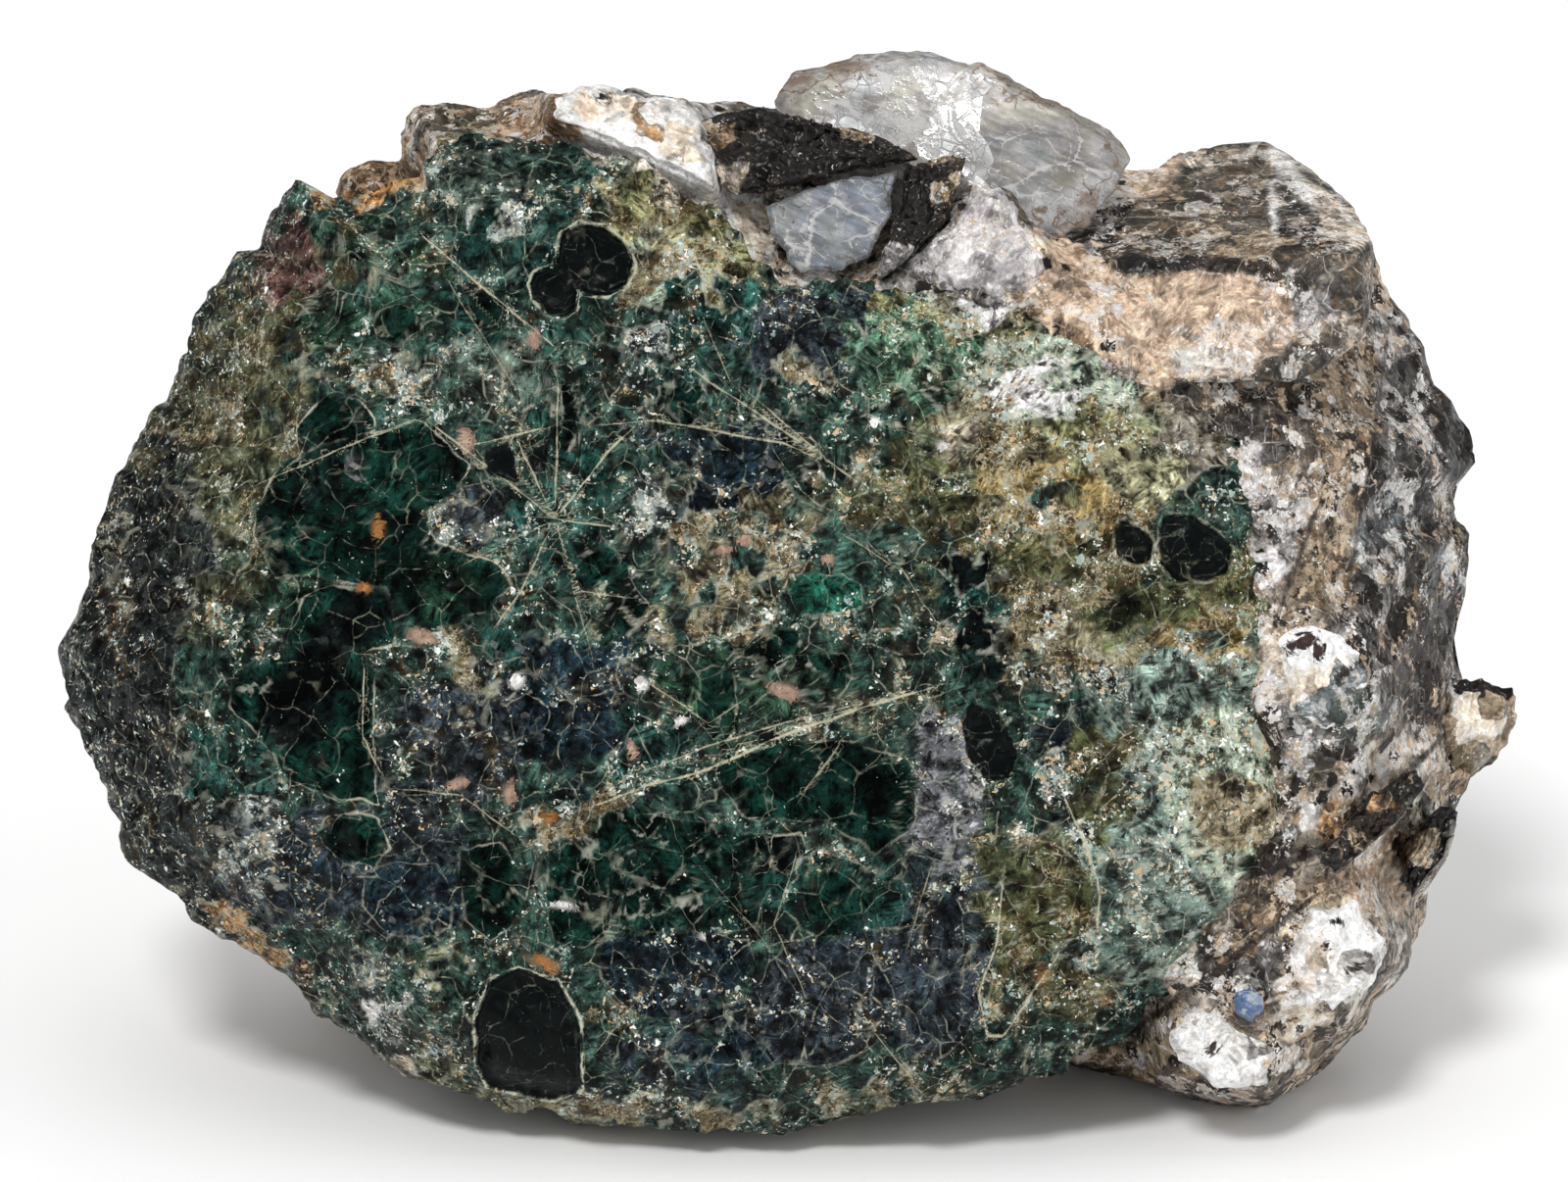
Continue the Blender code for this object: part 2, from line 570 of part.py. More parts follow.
def main():
    """Clears the scene and builds the stone."""
    for item in list(bpy.data.objects):
        bpy.data.objects.remove(item)
    make_cordierite()
    rock = make_matrix()
    grains = [make_grain(name, grain) for name, grain in GRAINS.items()]
    for place, (name, grain) in enumerate(GRAINS.items()):
        pocket = make_pocket(name, grain)
        for piece in (rock, *grains[place + 1 :]):
            if boxes_meet(piece, pocket):
                cut(piece, pocket)


main()
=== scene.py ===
"""Looks of a cordierite specimen: a dark blue-green glassy mass in feldspar, quartz and mica rock.

Shapes are drawn in the face frame, in millimetres: u to the right, v up the broken face and w out
of it, towards the eye. FaceFrame leans the face back and stands the stone on the floor.
"""

from __future__ import annotations

import logging
import math
from dataclasses import dataclass, field
from enum import Enum
from functools import cache
from itertools import combinations, product
from typing import Any

import bpy
import numpy as np
from mathutils import Matrix


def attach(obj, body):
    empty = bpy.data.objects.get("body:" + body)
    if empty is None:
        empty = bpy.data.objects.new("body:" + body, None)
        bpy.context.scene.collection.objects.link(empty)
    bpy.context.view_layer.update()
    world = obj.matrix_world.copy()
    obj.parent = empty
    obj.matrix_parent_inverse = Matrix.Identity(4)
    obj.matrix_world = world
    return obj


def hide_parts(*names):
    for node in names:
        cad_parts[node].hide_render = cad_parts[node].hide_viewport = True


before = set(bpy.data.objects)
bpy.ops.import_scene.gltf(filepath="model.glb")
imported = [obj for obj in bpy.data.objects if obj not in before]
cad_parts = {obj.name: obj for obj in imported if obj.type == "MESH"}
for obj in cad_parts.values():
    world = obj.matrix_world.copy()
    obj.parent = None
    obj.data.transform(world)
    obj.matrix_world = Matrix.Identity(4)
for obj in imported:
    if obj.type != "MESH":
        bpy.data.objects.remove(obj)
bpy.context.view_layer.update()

Array = np.ndarray
Values = dict[str, Array]
Point = tuple[float, float]
Place = tuple[float, float, float]
Colour = tuple[float, float, float]
Profile = dict[int, float]
Piece, Material = bpy.types.Object, bpy.types.Material
Node, Socket, Tree = bpy.types.Node, bpy.types.NodeSocket, bpy.types.NodeTree
LOG = logging.getLogger("cordierite")

MM = 0.001
TURN = 2.0 * math.pi
FAR = 9.0
TINY = 1e-9
STONE_IOR = 1.54
BODY = "root"


@dataclass(frozen=True)
class Cells:
    """Which cell each of many points lies in.

    Attributes:
        wall: The distance to the cell's wall.
        centre: The cell's centre.
        pick: The cell's random number, from 0 to 1.
        far_centre: The centre of the cell over the nearest wall.
        far_pick: That cell's random number.
    """

    wall: Array
    centre: Array
    pick: Array
    far_centre: Array
    far_pick: Array


class Noise:
    """Repeatable random fields over points in space, whose last axis holds three."""

    @staticmethod
    def scramble(cell: Array, seed: int) -> Array:
        """Mixes whole-number cells into 32-bit numbers.

        Args:
            cell: Whole numbers, the last axis holding three.
            seed: Picks one field among many.

        Returns:
            One whole number from 0 to 2**32 - 1 for each cell.
        """
        mixed = cell[..., 0] * 73856093 ^ cell[..., 1] * 19349663 ^ cell[..., 2] * 83492791
        mixed = (mixed ^ (seed * 2654435761)) & 0xFFFFFFFF
        for _ in range(2):
            mixed = ((mixed ^ (mixed >> 16)) * 0x45D9F3B) & 0xFFFFFFFF
        return mixed ^ (mixed >> 16)

    @classmethod
    def draws(cls, cell: Array, seed: int, count: int) -> Array:
        """Draws numbers from 0 to 1.

        Args:
            cell: Whole-number cells.
            seed: Picks the field.
            count: How many numbers each cell gets.

        Returns:
            An array with one more axis, of length count.
        """
        steps = np.arange(1, count + 1) * 0x9E3779B9
        spread = (cls.scramble(cell, seed)[..., None] + steps) & 0xFFFFFFFF
        for _ in range(2):
            spread = ((spread ^ (spread >> 15)) * 0x2C1B3C6D) & 0xFFFFFFFF
        return (spread ^ (spread >> 16)) / 2.0**32

    @classmethod
    def swell(cls, points: Array, size: float, seed: int) -> Array:
        """Smooth gradient noise: a random slope at each lattice corner, blended between corners.

        Args:
            points: Points.
            size: Distance between lattice corners.
            seed: Picks the field.

        Returns:
            Values of about -1 to 1.
        """
        scaled = points / size
        base = np.floor(scaled).astype(np.int64)
        part = scaled - base
        fade = part**3 * (part * (part * 6.0 - 15.0) + 10.0)
        total = np.zeros(points.shape[:-1])
        for corner in product((0, 1), repeat=3):
            slope = cls.draws(base + corner, seed, 3) * 2.0 - 1.0
            share = np.prod(np.where(corner, fade, 1.0 - fade), axis=-1)
            total += share * np.sum(slope * (part - corner), axis=-1)
        return total * 1.5

    @classmethod
    def fractal(cls, points: Array, size: float, octaves: int, seed: int) -> Array:
        """Sums swells of halving size and strength."""
        layers = [cls.swell(points, size / 2**k, seed + 31 * k) / 2**k for k in range(octaves)]
        return sum(layers) / 1.4

    @classmethod
    def bend(cls, points: Array, size: float, octaves: int, seed: int) -> Array:
        """Three fractal noises at once, to bend places with."""
        return np.stack([cls.fractal(points, size, octaves, seed + 100 * k) for k in range(3)], axis=-1)

    @classmethod
    def facets(cls, points: Array, size: float, seed: int, crisp: float = 9.0) -> Array:
        """Broken, flat-faced relief: each cell is a tilted plane, blended narrowly at its edges.

        Args:
            points: Points.
            size: About the width of one facet.
            seed: Picks the field.
            crisp: How narrow the blend between facets is.

        Returns:
            Values of about -1 to 1.
        """
        scaled = points / size
        base = np.floor(scaled).astype(np.int64)
        total, weights = np.zeros(points.shape[:-1]), np.zeros(points.shape[:-1])
        for step in product((-1, 0, 1), repeat=3):
            draw = cls.draws(base + step, seed, 7)
            away = scaled - (base + step + draw[..., :3])
            weight = np.exp(-crisp * np.linalg.norm(away, axis=-1))
            plane = 1.3 * (draw[..., 3] - 0.5) + np.sum((draw[..., 4:] - 0.5) * away, axis=-1) * 1.5
            total += weight * plane
            weights += weight
        return total / weights

    @classmethod
    def relief(cls, points: Array, *layers: tuple[float, float, int]) -> Array:
        """Sums facets, each layer given by its size, its height and its seed."""
        return sum(tall * cls.facets(points, size, seed) for size, tall, seed in layers)

    @classmethod
    def cells(cls, points: Array, size: float, seed: int) -> Cells:
        """Divides space into cells, each holding the places nearest to its own centre.

        Args:
            points: Points.
            size: About the width of one cell.
            seed: Picks the field.

        Returns:
            Each point's cell, and the cell over its nearest wall.
        """
        scaled = points / size
        base = np.floor(scaled).astype(np.int64)
        first = np.concatenate([0.0 * scaled, np.full((*scaled.shape[:-1], 2), FAR)], axis=-1)
        second = first.copy()
        for step in product((-1, 0, 1), repeat=3):
            draw = cls.draws(base + step, seed, 4)
            middle = base + step + draw[..., :3]
            away = np.linalg.norm(scaled - middle, axis=-1, keepdims=True)
            found = np.concatenate([middle, draw[..., 3:], away], axis=-1)
            closer, next_best = away < first[..., 4:], away < second[..., 4:]
            second = np.where(closer, first, np.where(next_best, found, second))
            first = np.where(closer, found, first)
        wall = (second[..., 4] - first[..., 4]) * size / 2.0
        return Cells(wall, first[..., :3] * size, first[..., 3], second[..., :3] * size, second[..., 3])


def smooth_step(low: float, high: float, value: Array) -> Array:
    """Returns 0 below low, 1 above high, and a smooth climb between them."""
    share = np.clip((value - low) / (high - low), 0.0, 1.0)
    return share * share * (3.0 - 2.0 * share)


def by_direction(profile: Profile, angle: Array) -> Array:
    """The profile's value in each direction, joined by straight lines between the stated ones."""
    return np.interp(angle, np.radians(list(profile)), list(profile.values()), period=TURN)


def unit(vectors: Array) -> Array:
    """Vectors along the last axis, brought to length 1."""
    return vectors / np.maximum(np.linalg.norm(vectors, axis=-1, keepdims=True), TINY)


@dataclass(frozen=True)
class FaceFrame:
    """How the stone stands.

    Attributes:
        lean: How far the face leans back.
        view_distance: From the eye to the face. A point that lies deeper is spread that much.
        floor: The floor's height before the stone is stood on it.
        stand_at: The x and y that come to rest over the origin.
        eye_up: How far up the face the eye's axis meets it.
        frame_width: The width of face that the picture shows.
    """

    lean: float = math.radians(20.0)
    view_distance: float = 600.0
    floor: float = -36.5
    stand_at: Point = (0.77, 14.03)
    eye_up: float = -0.19
    frame_width: float = 100.0

    def turn(self, u: Array, v: Array, w: Array) -> Array:
        """Leans points back and stands them on the floor, still in millimetres."""
        sine, cosine = math.sin(self.lean), math.cos(self.lean)
        x, y, z = u - self.stand_at[0], v * sine - w * cosine - self.stand_at[1], v * cosine + w * sine
        return np.stack([x, y, z - self.floor], axis=-1)

    def to_row(self, points: Array) -> Array:
        """Face frame to the part's frame, in metres, with nothing below the floor."""
        spread = 1.0 - points[..., 2] / self.view_distance
        row = self.turn(points[..., 0] * spread, points[..., 1] * spread, points[..., 2])
        row[..., 2] = np.maximum(row[..., 2], 0.0)
        return row * MM

    def normal(self) -> tuple[float, float, float]:
        """The way that the face looks, in the part's frame."""
        return tuple(self.turn(0.0, 0.0, 1.0) - self.turn(0.0, 0.0, 0.0))

    def eye(self) -> Matrix:
        """The camera's place and turn, looking straight into the face."""
        origin = self.turn(*np.zeros(3))
        sides = [self.turn(*np.eye(3)[k]) - origin for k in range(3)]
        place = self.turn(0.0, self.eye_up, self.view_distance) * MM
        return Matrix([[*(side[k] for side in sides), place[k]] for k in range(3)] + [[0.0, 0.0, 0.0, 1.0]])


FACE = FaceFrame()


class Sheet:
    """Grids wrapped on a disc, and closed meshes made of them."""

    @staticmethod
    def disc(half: int) -> tuple[Array, Array]:
        """A square grid wrapped on a disc.

        Args:
            half: Steps from the grid's middle to its edge.

        Returns:
            Each point's share of the radius and its direction.
        """
        steps = np.arange(-half, half + 1) / half
        a, b = (x.ravel() for x in np.meshgrid(steps, steps))
        share = np.maximum(abs(a), abs(b))
        wide = abs(a) >= abs(b)
        across = np.divide(b, a, out=np.zeros_like(a), where=wide & (a != 0.0))
        upright = np.divide(a, b, out=np.zeros_like(a), where=~wide)
        right = np.pi / 4 * across + np.pi * (a < 0.0)
        up = np.pi / 2 - np.pi / 4 * upright + np.pi * (b < 0.0)
        return share, np.where(wide, right, up)

    @staticmethod
    def edge(half: int) -> Array:
        """The grid's outermost points, counterclockwise from its lower left corner."""
        n = 2 * half + 1
        index = np.arange(n * n).reshape(n, n)
        return np.concatenate([index[0, :-1], index[:-1, -1], index[-1, :0:-1], index[:0:-1, 0]])

    @classmethod
    def faces(cls, half: int, rings: int, front_grid: bool, back_grid: bool) -> list[list[int]]:
        """The faces of a closed shell: a front cap, bands between rings, and a back cap.

        A cap is a whole grid, or a single middle point with a fan of triangles.

        Args:
            half: Steps from a grid's middle to its edge.
            rings: How many rings lie between the caps.
            front_grid: Whether the front cap is a grid.
            back_grid: Whether the back cap is a grid.

        Returns:
            Lists of point numbers, counterclockwise seen from outside.
        """
        n, edge = 2 * half + 1, cls.edge(half)
        loop = len(edge)
        first = n * n if front_grid else 1
        last = first + rings * loop
        loops = [first + k * loop + np.arange(loop) for k in range(rings)]
        loops = [edge] * front_grid + loops + [last + edge] * back_grid
        row, column = (x.ravel() for x in np.mgrid[0 : n - 1, 0 : n - 1])
        corner = row * n + column
        grid = np.stack([corner, corner + 1, corner + n + 1, corner + n], axis=1)
        made = [grid] if front_grid else []
        for near, far in zip(loops[:-1], loops[1:]):
            made.append(np.stack([near, far, np.roll(far, -1), np.roll(near, -1)], axis=1))
        if back_grid:
            made.append(last + grid[:, ::-1])
        faces = np.concatenate(made).tolist()
        if not front_grid:
            faces += np.stack([0 * loops[0], loops[0], np.roll(loops[0], -1)], axis=1).tolist()
        if not back_grid:
            faces += np.stack([last + 0 * edge, np.roll(loops[-1], -1), loops[-1]], axis=1).tolist()
        return faces


def make_piece(name: str, points: Array, faces: list[list[int]]) -> Piece:
    """Makes a smooth mesh object at the origin.

    Args:
        name: The piece's name.
        points: Its points, in metres.
        faces: Lists of point numbers.

    Returns:
        The object.
    """
    mesh = bpy.data.meshes.new(name)
    mesh.from_pydata(points.tolist(), [], faces)
    mesh.polygons.foreach_set("use_smooth", np.ones(len(mesh.polygons), bool))
    mesh.update()
    piece = bpy.data.objects.new(name, mesh)
    bpy.context.scene.collection.objects.link(piece)
    return piece


def paint(piece: Piece, values: Values) -> None:
    """Stores values or linear colours for each point, as attributes that materials read."""
    for name, stored in values.items():
        kind, key = ("FLOAT", "value") if stored.ndim == 1 else ("FLOAT_COLOR", "color")
        full = stored if stored.ndim == 1 else np.append(stored, np.ones((len(stored), 1)), axis=1)
        attribute = piece.data.attributes.new(name, kind, "POINT")
        attribute.data.foreach_set(key, full.astype(np.float32).ravel())


def settle(piece: Piece, material: Material, slot: str, *nodes: str) -> None:
    """Dresses a piece, fixes it to the stone's body and lets it stand for its solids.

    Args:
        piece: The piece.
        material: Its finish.
        slot: The record's material slot; not used.
        nodes: The solids that it replaces.
    """
    piece.data.materials.append(material)
    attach(piece, BODY)
    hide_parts(*nodes)
    LOG.info("%s: %d points, %d faces", piece.name, len(piece.data.vertices), len(piece.data.polygons))


class Graph:
    """Adds nodes to a node tree and joins them."""

    def __init__(self, tree: Tree) -> None:
        """Keeps the tree to work on."""
        self.tree = tree

    def add(self, kind: str, settings: dict[str, Any] | None = None, **inputs: Any) -> Node:
        """Adds one node.

        Args:
            kind: The node's type, without its ShaderNode prefix.
            settings: Properties of the node itself.
            inputs: Values or sockets by input name, with _ for a space, or inNUMBER by place.

        Returns:
            The node.
        """
        node = self.tree.nodes.new("ShaderNode" + kind)
        for key, value in (settings or {}).items():
            setattr(node, key, value)
        for key, value in inputs.items():
            place = int(key[2:]) if key.startswith("in") and key[2:].isdigit() else key.replace("_", " ")
            self.feed(node.inputs[place], value)
        return node

    def feed(self, socket: Socket, value: Any) -> None:
        """Links a socket to another, or gives it a plain value."""
        if isinstance(value, Socket):
            self.tree.links.new(value, socket)
        elif isinstance(value, tuple) and socket.type == "RGBA":
            socket.default_value = (*value, 1.0)
        else:
            socket.default_value = value

    def math(self, operation: str, *values: Any, clamp: bool = False) -> Socket:
        """Works out one sum on numbers or sockets."""
        settings = {"operation": operation, "use_clamp": clamp}
        return self.add("Math", settings, **{f"in{k}": v for k, v in enumerate(values)}).outputs[0]

    def times(self, first: Any, second: Any) -> Socket:
        """The product of two values."""
        return self.math("MULTIPLY", first, second)

    def plus(self, first: Any, second: Any, clamp: bool = False) -> Socket:
        """The sum of two values."""
        return self.math("ADD", first, second, clamp=clamp)

    def less(self, first: Any, second: Any) -> Socket:
        """The first value less the second."""
        return self.math("SUBTRACT", first, second)

    def most(self, first: Any, second: Any, clamp: bool = False) -> Socket:
        """The larger of two values."""
        return self.math("MAXIMUM", first, second, clamp=clamp)

    def size(self, value: Any) -> Socket:
        """A value without its sign."""
        return self.math("ABSOLUTE", value)

    def vector(self, operation: str, *values: Any) -> Socket:
        """Works out one sum on vectors."""
        inputs = {f"in{k}": v for k, v in enumerate(values)}
        return self.add("VectorMath", {"operation": operation}, **inputs).outputs[0]

    def climb(self, value: Any, low: Any, high: Any, start: float = 0.0, end: float = 1.0) -> Socket:
        """A smooth climb from start at low to end at high."""
        settings = {"interpolation_type": "SMOOTHSTEP"}
        return self.add("MapRange", settings, in0=value, in1=low, in2=high, in3=start, in4=end).outputs[0]

    def fall(self, value: Any, high: Any, start: float = 1.0, low: float = 0.0) -> Socket:
        """A smooth fall from start at low to 0 at high."""
        return self.climb(value, low, high, start, 0.0)

    def blend(self, share: Any, first: Any, second: Any, how: str = "MIX") -> Socket:
        """Blends two colours by a share."""
        settings = {"data_type": "RGBA", "blend_type": how, "clamp_factor": True, "clamp_result": True}
        return self.add("Mix", settings, in0=share, in6=first, in7=second).outputs[2]

    def tint(self, first: Any, second: Any) -> Socket:
        """Multiplies two colours."""
        return self.blend(1.0, first, second, "MULTIPLY")

    def noise(self, vector: Any, scale: Any, detail: float = 2.0, rough: float = 0.5) -> Node:
        """Fractal noise of 0 to 1."""
        return self.add("TexNoise", None, Vector=vector, Scale=scale, Detail=detail, Roughness=rough)

    def cells(self, vector: Any, scale: Any, feature: str = "F1") -> Node:
        """Cells, each round its own centre."""
        return self.add("TexVoronoi", {"feature": feature}, Vector=vector, Scale=scale)

    def split(self, node: Node) -> Any:
        """The three parts of a node's Color."""
        return self.add("SeparateColor", None, Color=node.outputs["Color"]).outputs

    def bend(self, vector: Any, scale: float, detail: float, rough: float, amount: float) -> Socket:
        """Places moved by a noise, so that what is drawn on them runs unevenly."""
        wave = self.noise(vector, scale, detail, rough)
        shift = self.vector("SUBTRACT", wave.outputs["Color"], HALF)
        return self.vector("MULTIPLY_ADD", shift, (amount,) * 3, vector)

    def read(self, name: str, output: str = "Fac") -> Socket:
        """Reads what paint stored."""
        return self.add("Attribute", {"attribute_name": name}).outputs[output]

    def place(self) -> Socket:
        """The point's place on the piece, in metres."""
        return self.add("TexCoord").outputs["Object"]

    def use(self, group: Tree, **inputs: Any) -> Any:
        """Places a node group with its own values, and gives its outputs."""
        return self.add("Group", {"node_tree": group}, **inputs).outputs

    def bump(self, height: Any) -> Socket:
        """A normal bent by a height in metres."""
        return self.add("Bump", None, Strength=1.0, Distance=1.0, Height=height).outputs[0]


HALF = (0.5, 0.5, 0.5)


def new_group(name: str, inputs: dict[str, float], *outputs: str) -> tuple[Graph, Any, Any]:
    """Opens a node group.

    Args:
        name: Its name.
        inputs: Its number inputs, beside a Vector.
        outputs: The names of its number outputs.

    Returns:
        Its graph, the sockets that bring its inputs, and those that take its outputs.
    """
    tree = bpy.data.node_groups.new(name, "ShaderNodeTree")
    tree.interface.new_socket("Vector", in_out="INPUT", socket_type="NodeSocketVector")
    for label, value in inputs.items():
        socket = tree.interface.new_socket(label, in_out="INPUT", socket_type="NodeSocketFloat")
        socket.default_value = value
    for label in outputs:
        tree.interface.new_socket(label, in_out="OUTPUT", socket_type="NodeSocketFloat")
    entry, leave = tree.nodes.new("NodeGroupInput"), tree.nodes.new("NodeGroupOutput")
    return Graph(tree), entry.outputs, leave.inputs


class Effects:
    """Shader node groups for effects that several finishes share, each built once."""

    @staticmethod
    @cache
    def hairs() -> Tree:
        """Fine curved hair lines: where a noise passes its middle value, faded in and out."""
        g, entry, leave = new_group("hairs", {"Scale": 600.0, "Width": 0.03, "Amount": 0.5}, "Line")
        split = g.split(g.noise(entry["Vector"], entry["Scale"], 3.0, 0.55))
        line = g.fall(g.size(g.less(split[0], 0.5)), entry["Width"])
        edge = g.climb(entry["Amount"], 0.0, 1.0, 0.72, 0.34)
        g.feed(leave["Line"], g.times(line, g.climb(split[1], edge, g.plus(edge, 0.16))))
        return g.tree

    @staticmethod
    @cache
    def cracks() -> Tree:
        """Thin, straight-run crack lines between cells."""
        g, entry, leave = new_group("cracks", {"Scale": 450.0, "Width": 0.03}, "Line")
        bent = g.bend(entry["Vector"], 300.0, 2.0, 0.5, 0.0022)
        cell = g.cells(bent, entry["Scale"], "DISTANCE_TO_EDGE")
        g.feed(leave["Line"], g.fall(cell.outputs["Distance"], entry["Width"]))
        return g.tree

    @staticmethod
    @cache
    def streaks() -> Tree:
        """Fine grain drawn out along the face and turned by Angle: two noises of 0 to 1."""
        g, entry, leave = new_group("streaks", {"Scale": 3800.0, "Angle": 0.0}, "Value", "Second")
        turned = g.add("VectorRotate", {"rotation_type": "AXIS_ANGLE"}, Vector=entry["Vector"])
        turned.inputs["Axis"].default_value = FACE.normal()
        g.feed(turned.inputs["Angle"], entry["Angle"])
        drawn = g.vector("MULTIPLY", turned.outputs[0], (0.16, 1.0, 1.0))
        split = g.split(g.noise(drawn, entry["Scale"], 2.5, 0.62))
        g.feed(leave["Value"], split[0])
        g.feed(leave["Second"], split[1])
        return g.tree

    @staticmethod
    @cache
    def sparkle() -> Tree:
        """Tiny flat grains, each tilted its own way. Height is in metres, for a Bump node."""
        g, entry, leave = new_group("sparkle", {"Scale": 3000.0, "Tilt": 0.5}, "Height")
        cell = g.cells(entry["Vector"], entry["Scale"]).outputs
        away = g.vector("SUBTRACT", entry["Vector"], cell["Position"])
        tilt = g.vector("SUBTRACT", cell["Color"], HALF)
        plane = g.add("VectorMath", {"operation": "DOT_PRODUCT"}, in0=away, in1=tilt)
        g.feed(leave["Height"], g.times(plane.outputs["Value"], entry["Tilt"]))
        return g.tree

    @staticmethod
    @cache
    def crumbs() -> Tree:
        """Angular crumbs. Amount says which share of them shows, Pick and Hue differ for each."""
        g, entry, leave = new_group("crumbs", {"Scale": 2400.0, "Amount": 0.3}, "Mask", "Pick", "Hue")
        cell = g.cells(g.bend(entry["Vector"], 1500.0, 2.0, 0.6, 0.0011), entry["Scale"])
        pick = g.split(cell)
        level = g.less(entry["Amount"], g.plus(pick[0], g.times(cell.outputs["Distance"], 0.22)))
        g.feed(leave["Mask"], g.climb(level, -0.05, 0.0))
        g.feed(leave["Pick"], pick[1])
        g.feed(leave["Hue"], pick[2])
        return g.tree

    @staticmethod
    @cache
    def mosaic() -> Tree:
        """Angular grains packed together. Pick, Hue and Sort differ for each, and Gap lies between."""
        g, entry, leave = new_group("mosaic", {"Scale": 900.0}, "Pick", "Hue", "Sort", "Gap")
        scale = {"operation": "SCALE"}
        sized = g.add("VectorMath", scale, Vector=entry["Vector"], Scale=entry["Scale"]).outputs[0]
        bent = g.bend(sized, 1.3, 3.0, 0.6, 1.5)
        pick = g.split(g.cells(bent, 1.0))
        wall = g.cells(bent, 1.0, "DISTANCE_TO_EDGE").outputs["Distance"]
        for name, value in zip(("Pick", "Hue", "Sort", "Gap"), (*pick[:3], g.fall(wall, 0.09))):
            g.feed(leave[name], value)
        return g.tree

    @staticmethod
    @cache
    def specks() -> Tree:
        """Small irregular specks. Amount from 0 to 1 says how much of the surface they cover."""
        g, entry, leave = new_group("specks", {"Scale": 2500.0, "Amount": 0.3, "Soft": 0.08}, "Mask")
        grain = g.noise(entry["Vector"], entry["Scale"], 2.5, 0.62).outputs["Fac"]
        edge = g.climb(entry["Amount"], 0.0, 1.0, 0.78, 0.34)
        g.feed(leave["Mask"], g.climb(grain, edge, g.plus(edge, entry["Soft"])))
        return g.tree


def new_finish(name: str) -> tuple[Material, Graph, Node]:
    """Makes an empty material, and gives its graph and its Principled shader with it."""
    material = bpy.data.materials.new(name)
    material.use_nodes = True
    return material, Graph(material.node_tree), material.node_tree.nodes["Principled BSDF"]


@dataclass(frozen=True)
class Mineral:
    """What a patch of the stone is made of.

    Attributes:
        colour: Its linear colour, where no speck or stain lies on it.
        glass: How smooth and clear it is, from 0 to 1.
        frost: How thickly white specks lie on it.
        stain: How thickly tan fibres lie on it.
        dark: How thickly black mica lies on it.
    """

    colour: Colour
    glass: float = 0.0
    frost: float = 0.3
    stain: float = 0.0
    dark: float = 0.0


